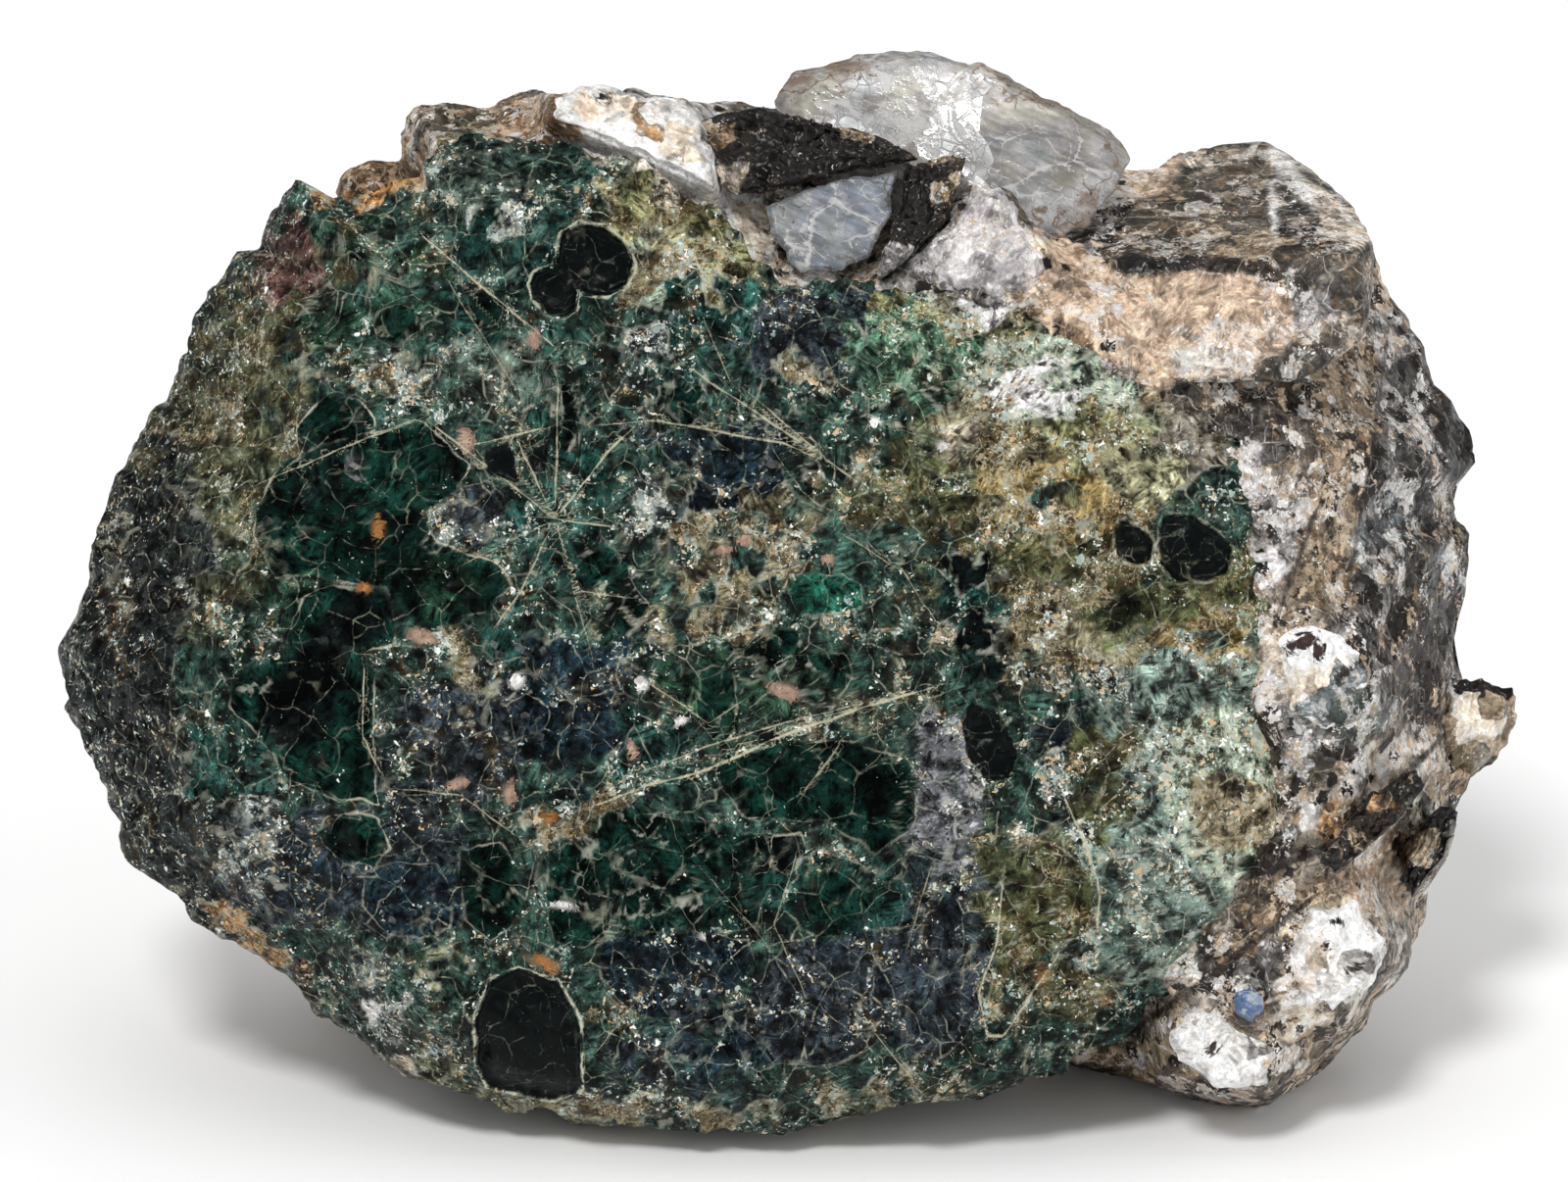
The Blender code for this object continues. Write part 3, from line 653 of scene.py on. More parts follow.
class Kind(Enum):
    """The kinds of patch on the stone."""

    LOBE = Mineral((0.0014, 0.0084, 0.0060), 1.0, 0.06)
    BRIGHT_LOBE = Mineral((0.005, 0.038, 0.025), 1.0, 0.14)
    INK = Mineral((0.0008, 0.0018, 0.0018), 1.0, 0.04)
    TEAL = Mineral((0.0042, 0.0185, 0.0152), 0.6, 0.21, 0.04)
    GREEN = Mineral((0.0062, 0.0180, 0.0102), 0.6, 0.23, 0.08)
    LEAF = Mineral((0.030, 0.064, 0.040), 0.3, 0.52, 0.14)
    SLATE = Mineral((0.0090, 0.0220, 0.0170), 0.3, 0.38, 0.14)
    NAVY = Mineral((0.0030, 0.0078, 0.0112), 0.5, 0.24, 0.02)
    MAUVE = Mineral((0.0100, 0.0146, 0.0185), 0.3, 0.27, 0.08)
    LILAC = Mineral((0.080, 0.082, 0.090), 0.2, 0.60, 0.10)
    HAZE = Mineral((0.500, 0.470, 0.470), 0.1, 0.60, 0.06, 0.10)
    SAGE = Mineral((0.034, 0.050, 0.040), 0.4, 0.46, 0.12)
    DUSK = Mineral((0.062, 0.086, 0.072), 0.3, 0.60, 0.16)
    OLIVE = Mineral((0.092, 0.094, 0.042), 0.3, 0.62, 0.42)
    MOSS = Mineral((0.028, 0.033, 0.014), 0.2, 0.40, 0.38)
    TAN = Mineral((0.066, 0.062, 0.038), 0.0, 0.62, 0.60)
    GOLD = Mineral((0.125, 0.092, 0.032), 0.0, 0.62, 0.70)
    RUST = Mineral((0.330, 0.150, 0.048), 0.0, 0.40, 0.80)
    SALMON = Mineral((0.400, 0.270, 0.200), 0.2, 0.40)
    FROST = Mineral((0.040, 0.052, 0.050), 0.0, 1.00)
    JADE = Mineral((0.170, 0.210, 0.155), 0.1, 0.80, 0.16)
    SMOKE = Mineral((0.125, 0.105, 0.068), 0.4, 0.44, 0.30)
    WAX = Mineral((0.150, 0.145, 0.088), 0.9, 0.20, 0.12)
    UMBER = Mineral((0.030, 0.034, 0.018), 0.1, 0.36, 0.34, 0.12)
    RIM = Mineral((0.005, 0.007, 0.007), 0.1, 0.30, 0.05, 0.20)
    MAROON = Mineral((0.050, 0.026, 0.022), 0.1, 0.50, 0.10, 0.30)
    STONE = Mineral((0.310, 0.265, 0.215), 0.0, 0.50, 0.40, 0.33)
    GRIT = Mineral((0.265, 0.250, 0.240), 0.0, 0.60, 0.14, 0.36)
    CRUST = Mineral((0.420, 0.240, 0.110), 0.0, 0.45, 0.60, 0.20)
    PEACH = Mineral((0.780, 0.570, 0.410), 0.1, 0.46, 0.30, 0.10)
    CREAM = Mineral((0.760, 0.640, 0.510), 0.1, 0.60, 0.10, 0.14)
    WHITE = Mineral((0.900, 0.870, 0.830), 0.1, 0.60, 0.03, 0.05)
    BARK = Mineral((0.040, 0.027, 0.019), 0.2, 0.26, 0.30, 0.55)
    BLACK = Mineral((0.008, 0.006, 0.005), 0.5, 0.10, 0.03, 0.70)
    FIBRE = Mineral((0.320, 0.250, 0.165), 0.0, 0.46, 0.60, 0.30)
    ASH = Mineral((0.120, 0.108, 0.090), 0.3, 0.40, 0.30, 0.30)
    BLUISH = Mineral((0.150, 0.175, 0.185), 0.5, 0.45, 0.05, 0.20)

    def row(self) -> Array:
        """Its red, green and blue, and its four values."""
        return np.array([*self.value.colour, *(getattr(self.value, name) for name in VALUES)])


VALUES = ("glass", "frost", "stain", "dark")
GLASS, FROST, STAIN = 3, 4, 5


@dataclass(frozen=True)
class Patch:
    """An oval patch on the stone, in face millimetres.

    Attributes:
        kind: What it is made of.
        u: Its middle, to the right.
        v: Its middle, upwards.
        wide: Half its width.
        tall: Half its height.
        share: How much of it covers what lies below.
        edge: How wide its ragged edge is, as a share of its size.
        turn: How far it is turned, counterclockwise in degrees.
    """

    kind: Kind
    u: float
    v: float
    wide: float
    tall: float
    share: float = 1.0
    edge: float = 0.4
    turn: float = 0.0

    def away(self, u: Array, v: Array) -> Array:
        """How far from the middle each place lies: 1 on the oval."""
        across, up = u - self.u, v - self.v
        sine, cosine = math.sin(math.radians(self.turn)), math.cos(math.radians(self.turn))
        return np.hypot((across * cosine + up * sine) / self.wide, (up * cosine - across * sine) / self.tall)

    def cover(self, u: Array, v: Array) -> Array:
        """How much of the patch lies at each place."""
        return self.share * (1.0 - smooth_step(1.0 - self.edge, 1.0 + self.edge, self.away(u, v)))


def patches(*rows: tuple[Any, ...]) -> tuple[Patch, ...]:
    """Makes patches from rows of their kind and numbers, in the order of Patch's fields."""
    return tuple(Patch(*row) for row in rows)


@dataclass(frozen=True)
class Shape:
    """A clear-edged patch on the stone.

    Attributes:
        kind: What it is made of.
        outline: Its corners, in face millimetres.
        line: How clearly a pale line runs round it, from 0 to 1.
        share: How much of it covers what lies below.
    """

    kind: Kind
    outline: tuple[Point, ...]
    line: float = 0.6
    share: float = 1.0


@dataclass(frozen=True)
class Painting:
    """Patches laid over a ground of mineral grains.

    Attributes:
        ground: What lies under all patches.
        patches: Oval patches, in the order that they are laid. Whole grains take their colour.
        shapes: Clear-edged patches, laid over those.
        spots: Small crystals, which are kept apart: they get crisp rims.
        back: The depth behind which only the ground is left.
        grain: The width of one mineral grain.
    """

    ground: Kind
    patches: tuple[Patch, ...]
    shapes: tuple[Shape, ...] = ()
    spots: tuple[Patch, ...] = ()
    back: float = -60.0
    grain: float = 1.3

    def survey(self, points: Array) -> Values:
        """Works out what the stone is made of.

        Args:
            points: Points in the face frame.

        Returns:
            For each point the tint, the four values of Mineral, the distance to the nearest grain
            wall and how clear it is, and the same for the nearest shape's outline.
        """
        bent = points + 0.55 * self.grain * Noise.bend(points, 1.8, 3, 40)
        cells = Noise.cells(bent, self.grain, 44)
        found = self.lay(cells.centre, cells.pick, points[:, 2])
        beyond = self.lay(cells.far_centre, cells.far_pick, points[:, 2])
        contrast = abs(np.log((found[:, 1] + 0.01) / (beyond[:, 1] + 0.01)))
        contrast = contrast + abs(found[:, GLASS] - beyond[:, GLASS])
        found[:, :3] *= np.exp(1.1 * (cells.pick[:, None] - 0.5))
        large = Noise.cells(bent, 2.9 * self.grain, 45)
        found[:, :3] *= np.exp(0.7 * (large.pick[:, None] - 0.5))
        rim, rim_on = self.draw_shapes(found, points)
        clump = smooth_step(-0.02, 0.6, Noise.fractal(points, 2.6, 3, 47))
        border = np.exp(-large.wall / 0.28) * smooth_step(-0.3, 0.4, Noise.fractal(points, 4.0, 2, 52))
        thick = smooth_step(0.6, 0.95, found[:, FROST])
        found[:, FROST] *= 0.05 + 1.9 * np.maximum(clump, border) * (1.0 - thick) + 0.9 * thick
        # Painted glow and shade: each large grain's colour is lighter near its walls and darker in its
        # middle, more so where it is glassy, standing in for light seen through translucent stone.
        deep = 0.55 - 0.95 * np.exp(-large.wall / 0.6)
        found[:, :3] *= (1.0 - deep * (0.35 + 0.65 * found[:, GLASS]))[:, None]
        streak = smooth_step(-0.4, 0.5, Noise.fractal(points * (1.0, 1.6, 1.0), 3.2, 3, 48))
        found[:, STAIN] = found[:, STAIN] * (0.4 + streak) + 0.58 * border * (1.0 - 0.6 * found[:, GLASS])
        spot, spot_tint = self.draw_spots(points)
        return {
            "tint": found[:, :3], **dict(zip(VALUES, found[:, 3:].T)), "seam": cells.wall,
            "seam_on": smooth_step(0.35, 1.3, contrast), "rim": rim, "rim_on": rim_on,
            "wall": large.wall, "lay": TURN * cells.pick, "spot": spot, "spot_tint": spot_tint,
        }

    def lay(self, centre: Array, pick: Array, depth: Array) -> Array:
        """Lays the patches over each other, grain by grain.

        Args:
            centre: The grains' centres.
            pick: The grains' random numbers, which settle whether a thin patch takes them.
            depth: The depth of each point.

        Returns:
            Rows of red, green, blue and the four values.
        """
        moved = centre + 1.5 * Noise.bend(centre, 6.0, 3, 41)
        front = smooth_step(self.back - 5.0, self.back, depth)
        found = np.tile(self.ground.row(), (len(centre), 1))
        for k, patch in enumerate(self.patches):
            edge = 0.15 + 0.7 * np.modf(pick * 57.0 + 0.618 * k)[0]
            cover = smooth_step(-0.15, 0.15, patch.cover(moved[:, 0], moved[:, 1]) - edge) * front
            found += (patch.kind.row() - found) * cover[:, None]
        return found

    def draw_spots(self, points: Array) -> tuple[Array, Array]:
        """Finds how far outside the nearest small crystal's rim each point lies, and its colour."""
        rough = points + 0.22 * Noise.bend(points, 1.1, 2, 53)
        away, tint = np.full(len(points), FAR), np.zeros((len(points), 3))
        for spot in self.spots:
            beyond = (spot.away(rough[:, 0], rough[:, 1]) - 1.0) * min(spot.wide, spot.tall)
            nearer = beyond < away
            away = np.where(nearer, beyond, away)
            tint = np.where(nearer[:, None], spot.kind.value.colour, tint)
        return away, tint

    def draw_shapes(self, found: Array, points: Array) -> tuple[Array, Array]:
        """Lays the shapes over the rows that are found so far.

        Args:
            found: Rows of red, green, blue and the four values, which are changed.
            points: Points in the face frame.

        Returns:
            The signed distance to the nearest outline, and how clear its line is.
        """
        rough = points + 0.45 * Noise.bend(points, 2.2, 4, 46)
        rim, rim_on = np.full(len(points), FAR), np.zeros(len(points))
        for shape in self.shapes:
            away = from_outline(rough[:, 0], rough[:, 1], shape.outline)
            cover = shape.share * (1.0 - smooth_step(-0.3, 0.3, away))
            found += (shape.kind.row() - found) * cover[:, None]
            nearer = (abs(away) < abs(rim)) & (shape.line > 0.0)
            rim = np.where(nearer, away, rim)
            rim_on = np.where(nearer, shape.line, rim_on)
        depth = 2.6 * Noise.fractal(points, 4.5, 3, 49) * (found[:, GLASS] > 0.7)
        found[:, :3] *= np.exp(np.clip(depth, -1.6, 0.4))[:, None]
        return rim, rim_on * smooth_step(-0.25, 0.35, Noise.fractal(points, 3.0, 2, 50))


@dataclass(frozen=True)
class Vein:
    """A needle, seam or healed crack on the stone.

    Attributes:
        path: The places that it runs through, in face millimetres.
        half_width: Half its width.
        strength: How clearly it shows, from 0 to 1.
    """

    path: tuple[Point, ...]
    half_width: float
    strength: float


def along_path(u: Array, v: Array, path: tuple[Point, ...]) -> tuple[Array, Array]:
    """Finds the nearest point of a path of straight runs.

    Args:
        u: Places, to the right.
        v: Places, upwards.
        path: The path's corners.

    Returns:
        The signed distance, positive on the path's left, and how far along the path it is, 0 to 1.
    """
    best = np.full(u.shape, 1e9)
    signed, share = best.copy(), np.zeros(u.shape)
    for k, (start, end) in enumerate(zip(path[:-1], path[1:])):
        run = np.array(end) - np.array(start)
        across, up = u - start[0], v - start[1]
        t = np.clip((across * run[0] + up * run[1]) / (run @ run), 0.0, 1.0)
        away = np.hypot(across - t * run[0], up - t * run[1])
        side = np.sign(run[0] * up - run[1] * across)
        closer = away < best
        best = np.where(closer, away, best)
        signed = np.where(closer, away * side, signed)
        share = np.where(closer, (k + t) / (len(path) - 1), share)
    return signed, share


def from_outline(u: Array, v: Array, outline: tuple[Point, ...]) -> Array:
    """The distance to a closed outline, negative inside it: each edge crossed flips the side.

    Args:
        u: Places, to the right.
        v: Places, upwards.
        outline: The outline's corners.

    Returns:
        The distance, or FAR well outside.
    """
    corners = np.array(outline)
    low, high = corners.min(axis=0) - 3.0, corners.max(axis=0) + 3.0
    near = (u > low[0]) & (u < high[0]) & (v > low[1]) & (v < high[1])
    found = np.full(u.shape, FAR)
    u, v = u[near], v[near]
    signed, _ = along_path(u, v, (*outline, outline[0]))
    inside = np.zeros(u.shape, bool)
    for (u0, v0), (u1, v1) in zip(outline, (*outline[1:], outline[0])):
        inside ^= ((v0 > v) != (v1 > v)) & (u < (u1 - u0) * (v - v0) / ((v1 - v0) or TINY) + u0)
    found[near] = np.where(inside, -abs(signed), abs(signed))
    return found


def trace_veins(points: Array, veins: tuple[Vein, ...]) -> Values:
    """Measures each point's place beside the nearest vein.

    Args:
        points: Points in the face frame.
        veins: The veins.

    Returns:
        The signed distance to the nearest vein, its half width there and its strength.
    """
    wobble = 0.12 * Noise.fractal(points, 2.0, 2, 51)
    offset, width, strength = np.full(len(points), 5.0), np.full(len(points), 0.1), np.zeros(len(points))
    for vein in veins:
        signed, along = along_path(points[:, 0], points[:, 1], vein.path)
        signed = signed + wobble
        nearer = abs(signed) - vein.half_width < abs(offset) - width
        offset = np.where(nearer, signed, offset)
        taper = 0.4 + 0.6 * np.sin(math.pi * along) ** 0.5
        width = np.where(nearer, vein.half_width * taper, width)
        strength = np.where(nearer, vein.strength * (abs(signed) < 1.2 + vein.half_width), strength)
    return {"vein": offset, "vein_width": width, "vein_on": strength}


CORDIERITE_EDGE: tuple[Point, ...] = (
    (-45.9, -4.1), (-44.1, 0.6), (-43.4, 5.6), (-40.3, 10), (-38.8, 12.5), (-37.2, 16.6), (-35.8, 19.1),
    (-34.5, 21.1), (-33, 21.4), (-32.4, 23.4), (-30.9, 25.9), (-28.4, 24.6), (-26.8, 24.8), (-23.3, 26.2),
    (-22.3, 28.6), (-18.4, 28.9), (-15.9, 28.9), (-12.5, 28), (-7.5, 26.2), (-4.1, 23.9), (-2.2, 21.4),
    (-0.3, 19.4), (3.8, 19.3), (8.8, 18.6), (13.1, 17.9), (16.9, 16.6), (20.6, 14.4), (24.4, 11.7),
    (27.5, 10), (29.7, 7.5), (30, 3.8), (30.8, 0), (30.6, -3.1), (31, -7.5), (33, -12.5), (33, -15.6),
    (31.2, -18.8), (28.1, -22.5), (24.6, -25.6), (21, -28.4), (18.1, -30), (12.5, -31.9), (3.1, -33.6),
    (-6.2, -34.4), (-12.5, -33.9), (-16.2, -33.1), (-23.1, -30.9), (-28.8, -27.5), (-31.9, -24.1),
    (-35, -22.2), (-36.9, -21.2), (-40.6, -18.1), (-42.2, -15.6), (-43.1, -12.5), (-44.4, -9.4),
    (-45.6, -6.9),
)
MATRIX_EDGE: tuple[Point, ...] = (
    (-31.9, 26.4), (-28.4, 25.7), (-26.8, 26), (-23.7, 27.6), (-23.3, 29.7), (-18.4, 30.3), (-15.9, 31.4),
    (-12.5, 31.3), (-6.2, 30.6), (-0.9, 30.2), (5, 29.2), (12, 28.2), (19, 26.8), (22.2, 26.8),
    (26, 26.2), (31, 25.4), (35, 23.4), (37.5, 21.5), (38.1, 19.4), (40, 15.9), (41.4, 12.5),
    (43.6, 10.3), (44.2, 8.1), (43, 6.6), (42.6, 4.4), (43.8, 3.1), (43.6, 0), (43.1, -3.1), (43.4, -5.6),
    (43.4, -11.9), (42.6, -13.2), (41.9, -15.6), (40, -18.8), (38.9, -20.9), (38.8, -23.8), (36.9, -25.6),
    (35.6, -27.8), (33.1, -30.6), (29.4, -32.8), (25, -32.2), (21.5, -31), (19, -30.8),
)
CENTRE = np.array([-6.0, -3.0])
MIDDLE = np.array([0.0, -2.0, -16.0])


def reach(edge: tuple[Point, ...], angle: Array) -> Array:
    """How far the closed edge lies from CENTRE in each direction."""
    along = np.array(edge) - CENTRE
    directions = np.arctan2(along[:, 1], along[:, 0])
    order = np.argsort(directions)
    return np.interp(angle, directions[order], np.hypot(along[:, 0], along[:, 1])[order], period=TURN)


def place(distance: Array, angle: Array, height: Any) -> Array:
    """Points at a distance and direction from CENTRE, and at a height over the face."""
    u, v = CENTRE[0] + distance * np.cos(angle), CENTRE[1] + distance * np.sin(angle)
    return np.stack([u, v, height + 0.0 * u], axis=-1)


def profile(*values: tuple[int, float]) -> Any:
    """A dataclass field that holds a value for each stated direction."""
    return field(default_factory=lambda: dict(values))


@dataclass(frozen=True)
class StoneForm:
    """The large shape that cordierite and matrix share, as profiles by direction from CENTRE.

    Directions are in degrees: 0 is right, 90 the top, 180 left and 270 the bottom. Depths are w
    values, and shares are shares of the reach.
    """

    bevel_width: Profile = profile(
        (0, 4), (60, 4), (100, 4), (135, 6), (155, 11), (180, 12), (205, 9), (230, 6), (260, 4), (300, 4))
    bevel_drop: Profile = profile(
        (0, 1.2), (60, 1.4), (100, 1.8), (135, 4), (155, 9), (180, 10), (205, 8), (230, 6), (260, 4.5),
        (300, 2.5))
    back_depth: Profile = profile(
        (0, -12), (60, -11), (100, -12), (135, -17), (180, -21), (225, -19), (260, -16), (300, -14))
    back_share: Profile = profile(
        (0, 0.965), (100, 0.965), (135, 0.95), (180, 0.94), (225, 0.93), (270, 0.9), (310, 0.95))
    shelf_top: Profile = profile((310, -4.0), (330, -1.8), (0, -1.6), (40, -2.2), (90, -3.0), (125, -4.0))
    edge_depth: Profile = profile(
        (310, -8), (330, -10), (350, -19), (20, -21), (50, -19), (90, -15), (125, -10))
    shelf_power: Profile = profile((310, 1.6), (340, 2.0), (0, 2.6), (45, 2.4), (90, 1.3), (125, 1.2))
    rear_depth: Profile = profile(
        (0, -34), (50, -30), (90, -27), (130, -28), (180, -33), (225, -36), (270, -37.5), (315, -36))
    rear_share: Profile = profile(
        (0, 0.78), (45, 0.8), (90, 0.84), (135, 0.8), (180, 0.8), (225, 0.88), (255, 1.0), (290, 1.0),
        (325, 0.88))
    matrix_from: float = -50.0
    matrix_to: float = 131.0
    matrix_fade: float = 14.0

    def matrix_share(self, angle: Array) -> tuple[Array, Array]:
        """Where the matrix shows in front: how far its shelf reaches out, and how high it stands."""
        turned = (np.degrees(angle) - self.matrix_from) % 360.0
        width = self.matrix_to - self.matrix_from
        share = np.clip(np.minimum(turned, width - turned) / self.matrix_fade, 0.0, 1.0)
        return smooth_step(0.0, 0.36, share), smooth_step(0.64, 1.0, share)

    def dome(self, u: Array, v: Array) -> Array:
        """The face is a very shallow dome."""
        return -0.0011 * (u + 2.0) ** 2 - 0.0012 * (v - 1.0) ** 2

    def turn_down(self, share: Array, angle: Array, distance: Array) -> Array:
        """How far into the bevelled edge a place lies: 0 on the face, 1 at its outline."""
        inside = (1.0 - share) * distance
        return np.clip(1.0 - inside / by_direction(self.bevel_width, angle), 0.0, 1.0)


FORM = StoneForm()


@dataclass(frozen=True)
class StoneFinish:
    """Broken stone: painted tints under streaks, fibres, crumbs, cracks, seams and veins.

    Attributes:
        name: The material's name.
        shade: How dark and how bright the broken grains get, as shares of their tint.
        crumbs: Colours of crumbs: bluish, cream, warm, and the few brightest.
        fibres: Colours of stained fibres, dark to pale.
        line: The colour of thin healed cracks.
        seam: The colour between grains.
        seam_share: How strong that is.
        rim: The colour round clear-edged patches.
        vein: The colour of veins.
        mica: The colour of black specks.
        rough: Roughness where it is dull, and where it is glassy.
        windows: Whether dark crystals look like windows in it.
        grains: How strongly packed grains differ, 0 for none.
        fibrous: How strongly stained fibres show.
        broken: How rough its breaks are.
        shine: How strongly it reflects.
    """

    name: str
    shade: Point = (0.13, 2.3)
    crumbs: tuple[Colour, ...] = (
        (0.42, 0.52, 0.48), (0.72, 0.70, 0.54), (0.62, 0.43, 0.24), (0.92, 0.93, 0.88))
    fibres: tuple[Colour, ...] = ((0.150, 0.092, 0.030), (0.330, 0.270, 0.140), (0.640, 0.570, 0.410))
    line: Colour = (0.46, 0.47, 0.34)
    seam: Colour = (0.60, 0.62, 0.52)
    seam_share: float = 0.45
    rim: Colour = (0.68, 0.67, 0.52)
    vein: Colour = (0.56, 0.53, 0.38)
    mica: Colour = (0.008, 0.006, 0.005)
    rough: Point = (0.38, 0.20)
    windows: bool = False
    grains: float = 0.0
    fibrous: float = 1.0
    broken: float = 0.35
    shine: float = 0.08

    def make(self) -> Material:
        """Builds the material, which reads the values that were painted on the piece."""
        material, g, shader = new_finish(self.name)
        at = g.place()
        glass, frost, stain, tint = g.read("glass"), g.read("frost"), g.read("stain"), g.read("tint", "Color")
        red, green, blue = g.split(g.noise(at, 900.0, 4.0, 0.65))[:3]
        fine = g.use(Effects.streaks(), Vector=at, Scale=3600.0, Angle=g.read("lay"))
        first, second = fine["Value"], fine["Second"]
        low, high = self.shade
        colour = g.tint(tint, g.climb(red, 0.36, 0.66, low, high))
        if self.grains:
            colour = self.pack(g, at, colour, frost, stain)
        colour = g.tint(colour, g.climb(first, 0.34, 0.70, low, 1.25 * high))
        bright = g.add("Gamma", None, Color=tint, Gamma=0.52).outputs[0]
        colour = self.stain(g, at, colour, stain, second)

        lines = self.lines(g, at, glass, (red, green, blue), first)
        pale = g.blend(stain, self.line, self.fibres[2])
        colour = g.blend(lines, colour, g.blend(g.climb(second, 0.38, 0.62), bright, pale))
        dark = g.use(Effects.specks(), Vector=at, Scale=2900.0, Amount=g.read("dark"), Soft=0.05)
        colour = g.blend(dark["Mask"], colour, self.mica)
        amount = g.times(frost, g.climb(red, 0.36, 0.64, 0.2, 1.1))
        for scale, share in ((5600.0, 1.0), (2700.0, 0.4)):
            crumb = g.use(Effects.crumbs(), Vector=at, Scale=scale, Amount=g.times(amount, share))
            colour = g.blend(crumb["Mask"], colour, self.crumb(g, crumb["Pick"], crumb["Hue"], stain, bright))

        colour = self.outlines(g, colour, green, first, stain)
        scratch = g.less(1.0, g.times(lines, 0.5))
        colour, inside = self.panes(g, colour, (red, green, blue), scratch)
        g.feed(shader.inputs["Base Color"], colour)

        rough = g.plus(g.climb(glass, 0.0, 1.0, *self.rough), g.times(crumb["Mask"], 0.2))
        g.feed(shader.inputs["Roughness"], g.most(rough, g.times(inside, 0.14), clamp=True))
        grains = g.use(Effects.sparkle(), Vector=at, Scale=2300.0, Tilt=1.1)["Height"]
        chips = g.use(Effects.sparkle(), Vector=at, Scale=620.0, Tilt=self.broken)["Height"]
        height = g.plus(g.times(grains, g.climb(glass, 0.0, 1.0, 1.0, 0.1)), chips)
        g.feed(shader.inputs["Normal"], g.bump(g.times(height, g.climb(inside, 0.0, 1.0, 1.0, 0.25))))
        shader.inputs["IOR"].default_value = STONE_IOR
        shader.inputs["Specular IOR Level"].default_value = self.shine
        return material

    def lines(self, g: Graph, at: Any, glass: Any, coarse: tuple[Any, Any, Any], fine: Any) -> Socket:
        """The mask of thin cracks: two nets of them, and the walls of the large grains."""
        red, green, blue = coarse
        width = g.climb(green, 0.35, 0.65, 0.010, 0.042)
        crack = g.use(Effects.cracks(), Vector=at, Scale=400.0, Width=width)["Line"]
        crack = g.times(crack, g.climb(blue, 0.40, 0.56, 0.0, 0.8))
        web = g.use(Effects.cracks(), Vector=at, Scale=950.0, Width=width)["Line"]
        web = g.times(g.times(web, g.climb(red, 0.46, 0.60, 0.0, 0.7)), g.climb(glass, 0.2, 0.9, 1.0, 0.0))
        crack = g.most(g.times(crack, g.climb(glass, 0.4, 1.0, 1.0, 0.55)), web)
        wall = g.times(g.fall(g.read("wall"), g.climb(blue, 0.35, 0.65, 0.03, 0.18)), g.read("hair_on"))
        return g.times(g.most(g.times(wall, 0.9), crack), g.climb(fine, 0.32, 0.55, 0.3, 1.0))

    def crumb(self, g: Graph, pick: Any, hue: Any, stain: Any, bright: Any) -> Socket:
        """A crumb's colour: from a bright shade of the ground to white, or warm where stained."""
        pale = g.blend(g.climb(hue, 0.3, 0.7), self.crumbs[0], self.crumbs[1])
        warm = g.times(g.climb(hue, 0.52, 0.66), g.climb(stain, 0.0, 0.3, 0.25, 1.0))
        pale = g.blend(g.climb(pick, 0.86, 0.96), g.blend(warm, pale, self.crumbs[2]), self.crumbs[3])
        return g.blend(g.climb(pick, 0.10, 0.80), bright, pale)

    def stain(self, g: Graph, at: Any, colour: Any, stain: Any, fine: Any) -> Socket:
        """Lays a film and then two nets of fibres over a colour."""
        film = g.times(g.climb(fine, 0.40, 0.62), g.climb(stain, 0.1, 0.9, 0.0, 0.75 * self.fibrous))
        colour = g.blend(film, colour, self.fibres[0])
        for scale, width, share, fibre in ((1300.0, 0.036, 0.85, 1), (2100.0, 0.030, 0.75, 2)):
            net = g.use(Effects.hairs(), Vector=at, Scale=scale, Width=width, Amount=g.times(stain, 1.2))
            colour = g.blend(g.times(net["Line"], share * self.fibrous), colour, self.fibres[fibre])
        return colour

    def pack(self, g: Graph, at: Any, colour: Any, frost: Any, stain: Any) -> Socket:
        """Breaks a colour up into packed grains: dim and bright ones, white, warm and black ones."""
        low, high = 1.0 - 0.65 * self.grains, 1.0 + 0.85 * self.grains
        even = g.climb(g.read("tint"), 0.25, 0.75, 0.0, 0.7)
        for scale in (560.0, 1500.0):
            grain = g.use(Effects.mosaic(), Vector=at, Scale=scale)
            pick = grain["Pick"]
            colour = g.tint(colour, g.blend(even, g.climb(pick, 0.0, 1.0, low, high), (1.0, 1.0, 1.0)))
            bar = g.climb(frost, 0.0, 1.0, 1.0, 0.45)
            pale = g.climb(grain["Hue"], bar, g.plus(bar, 0.03), 0.0, 0.85 * self.grains)
            colour = g.blend(pale, colour, g.blend(pick, self.crumbs[0], self.crumbs[3]))
            bar = g.climb(stain, 0.0, 1.0, 1.0, 0.5)
            warm = g.climb(grain["Sort"], bar, g.plus(bar, 0.03), 0.0, 0.8 * self.grains)
            colour = g.blend(warm, colour, g.blend(pick, self.fibres[0], self.fibres[2]))
            bar = g.climb(g.read("dark"), 0.0, 1.0, 0.0, 0.6)
            colour = g.blend(g.fall(grain["Hue"], g.plus(bar, 0.02), self.grains, bar), colour, self.mica)
            gap = g.times(grain["Gap"], g.climb(even, 0.0, 0.7, 0.6 * self.grains, 0.2 * self.grains))
            colour = g.blend(gap, colour, self.seam)
        return colour

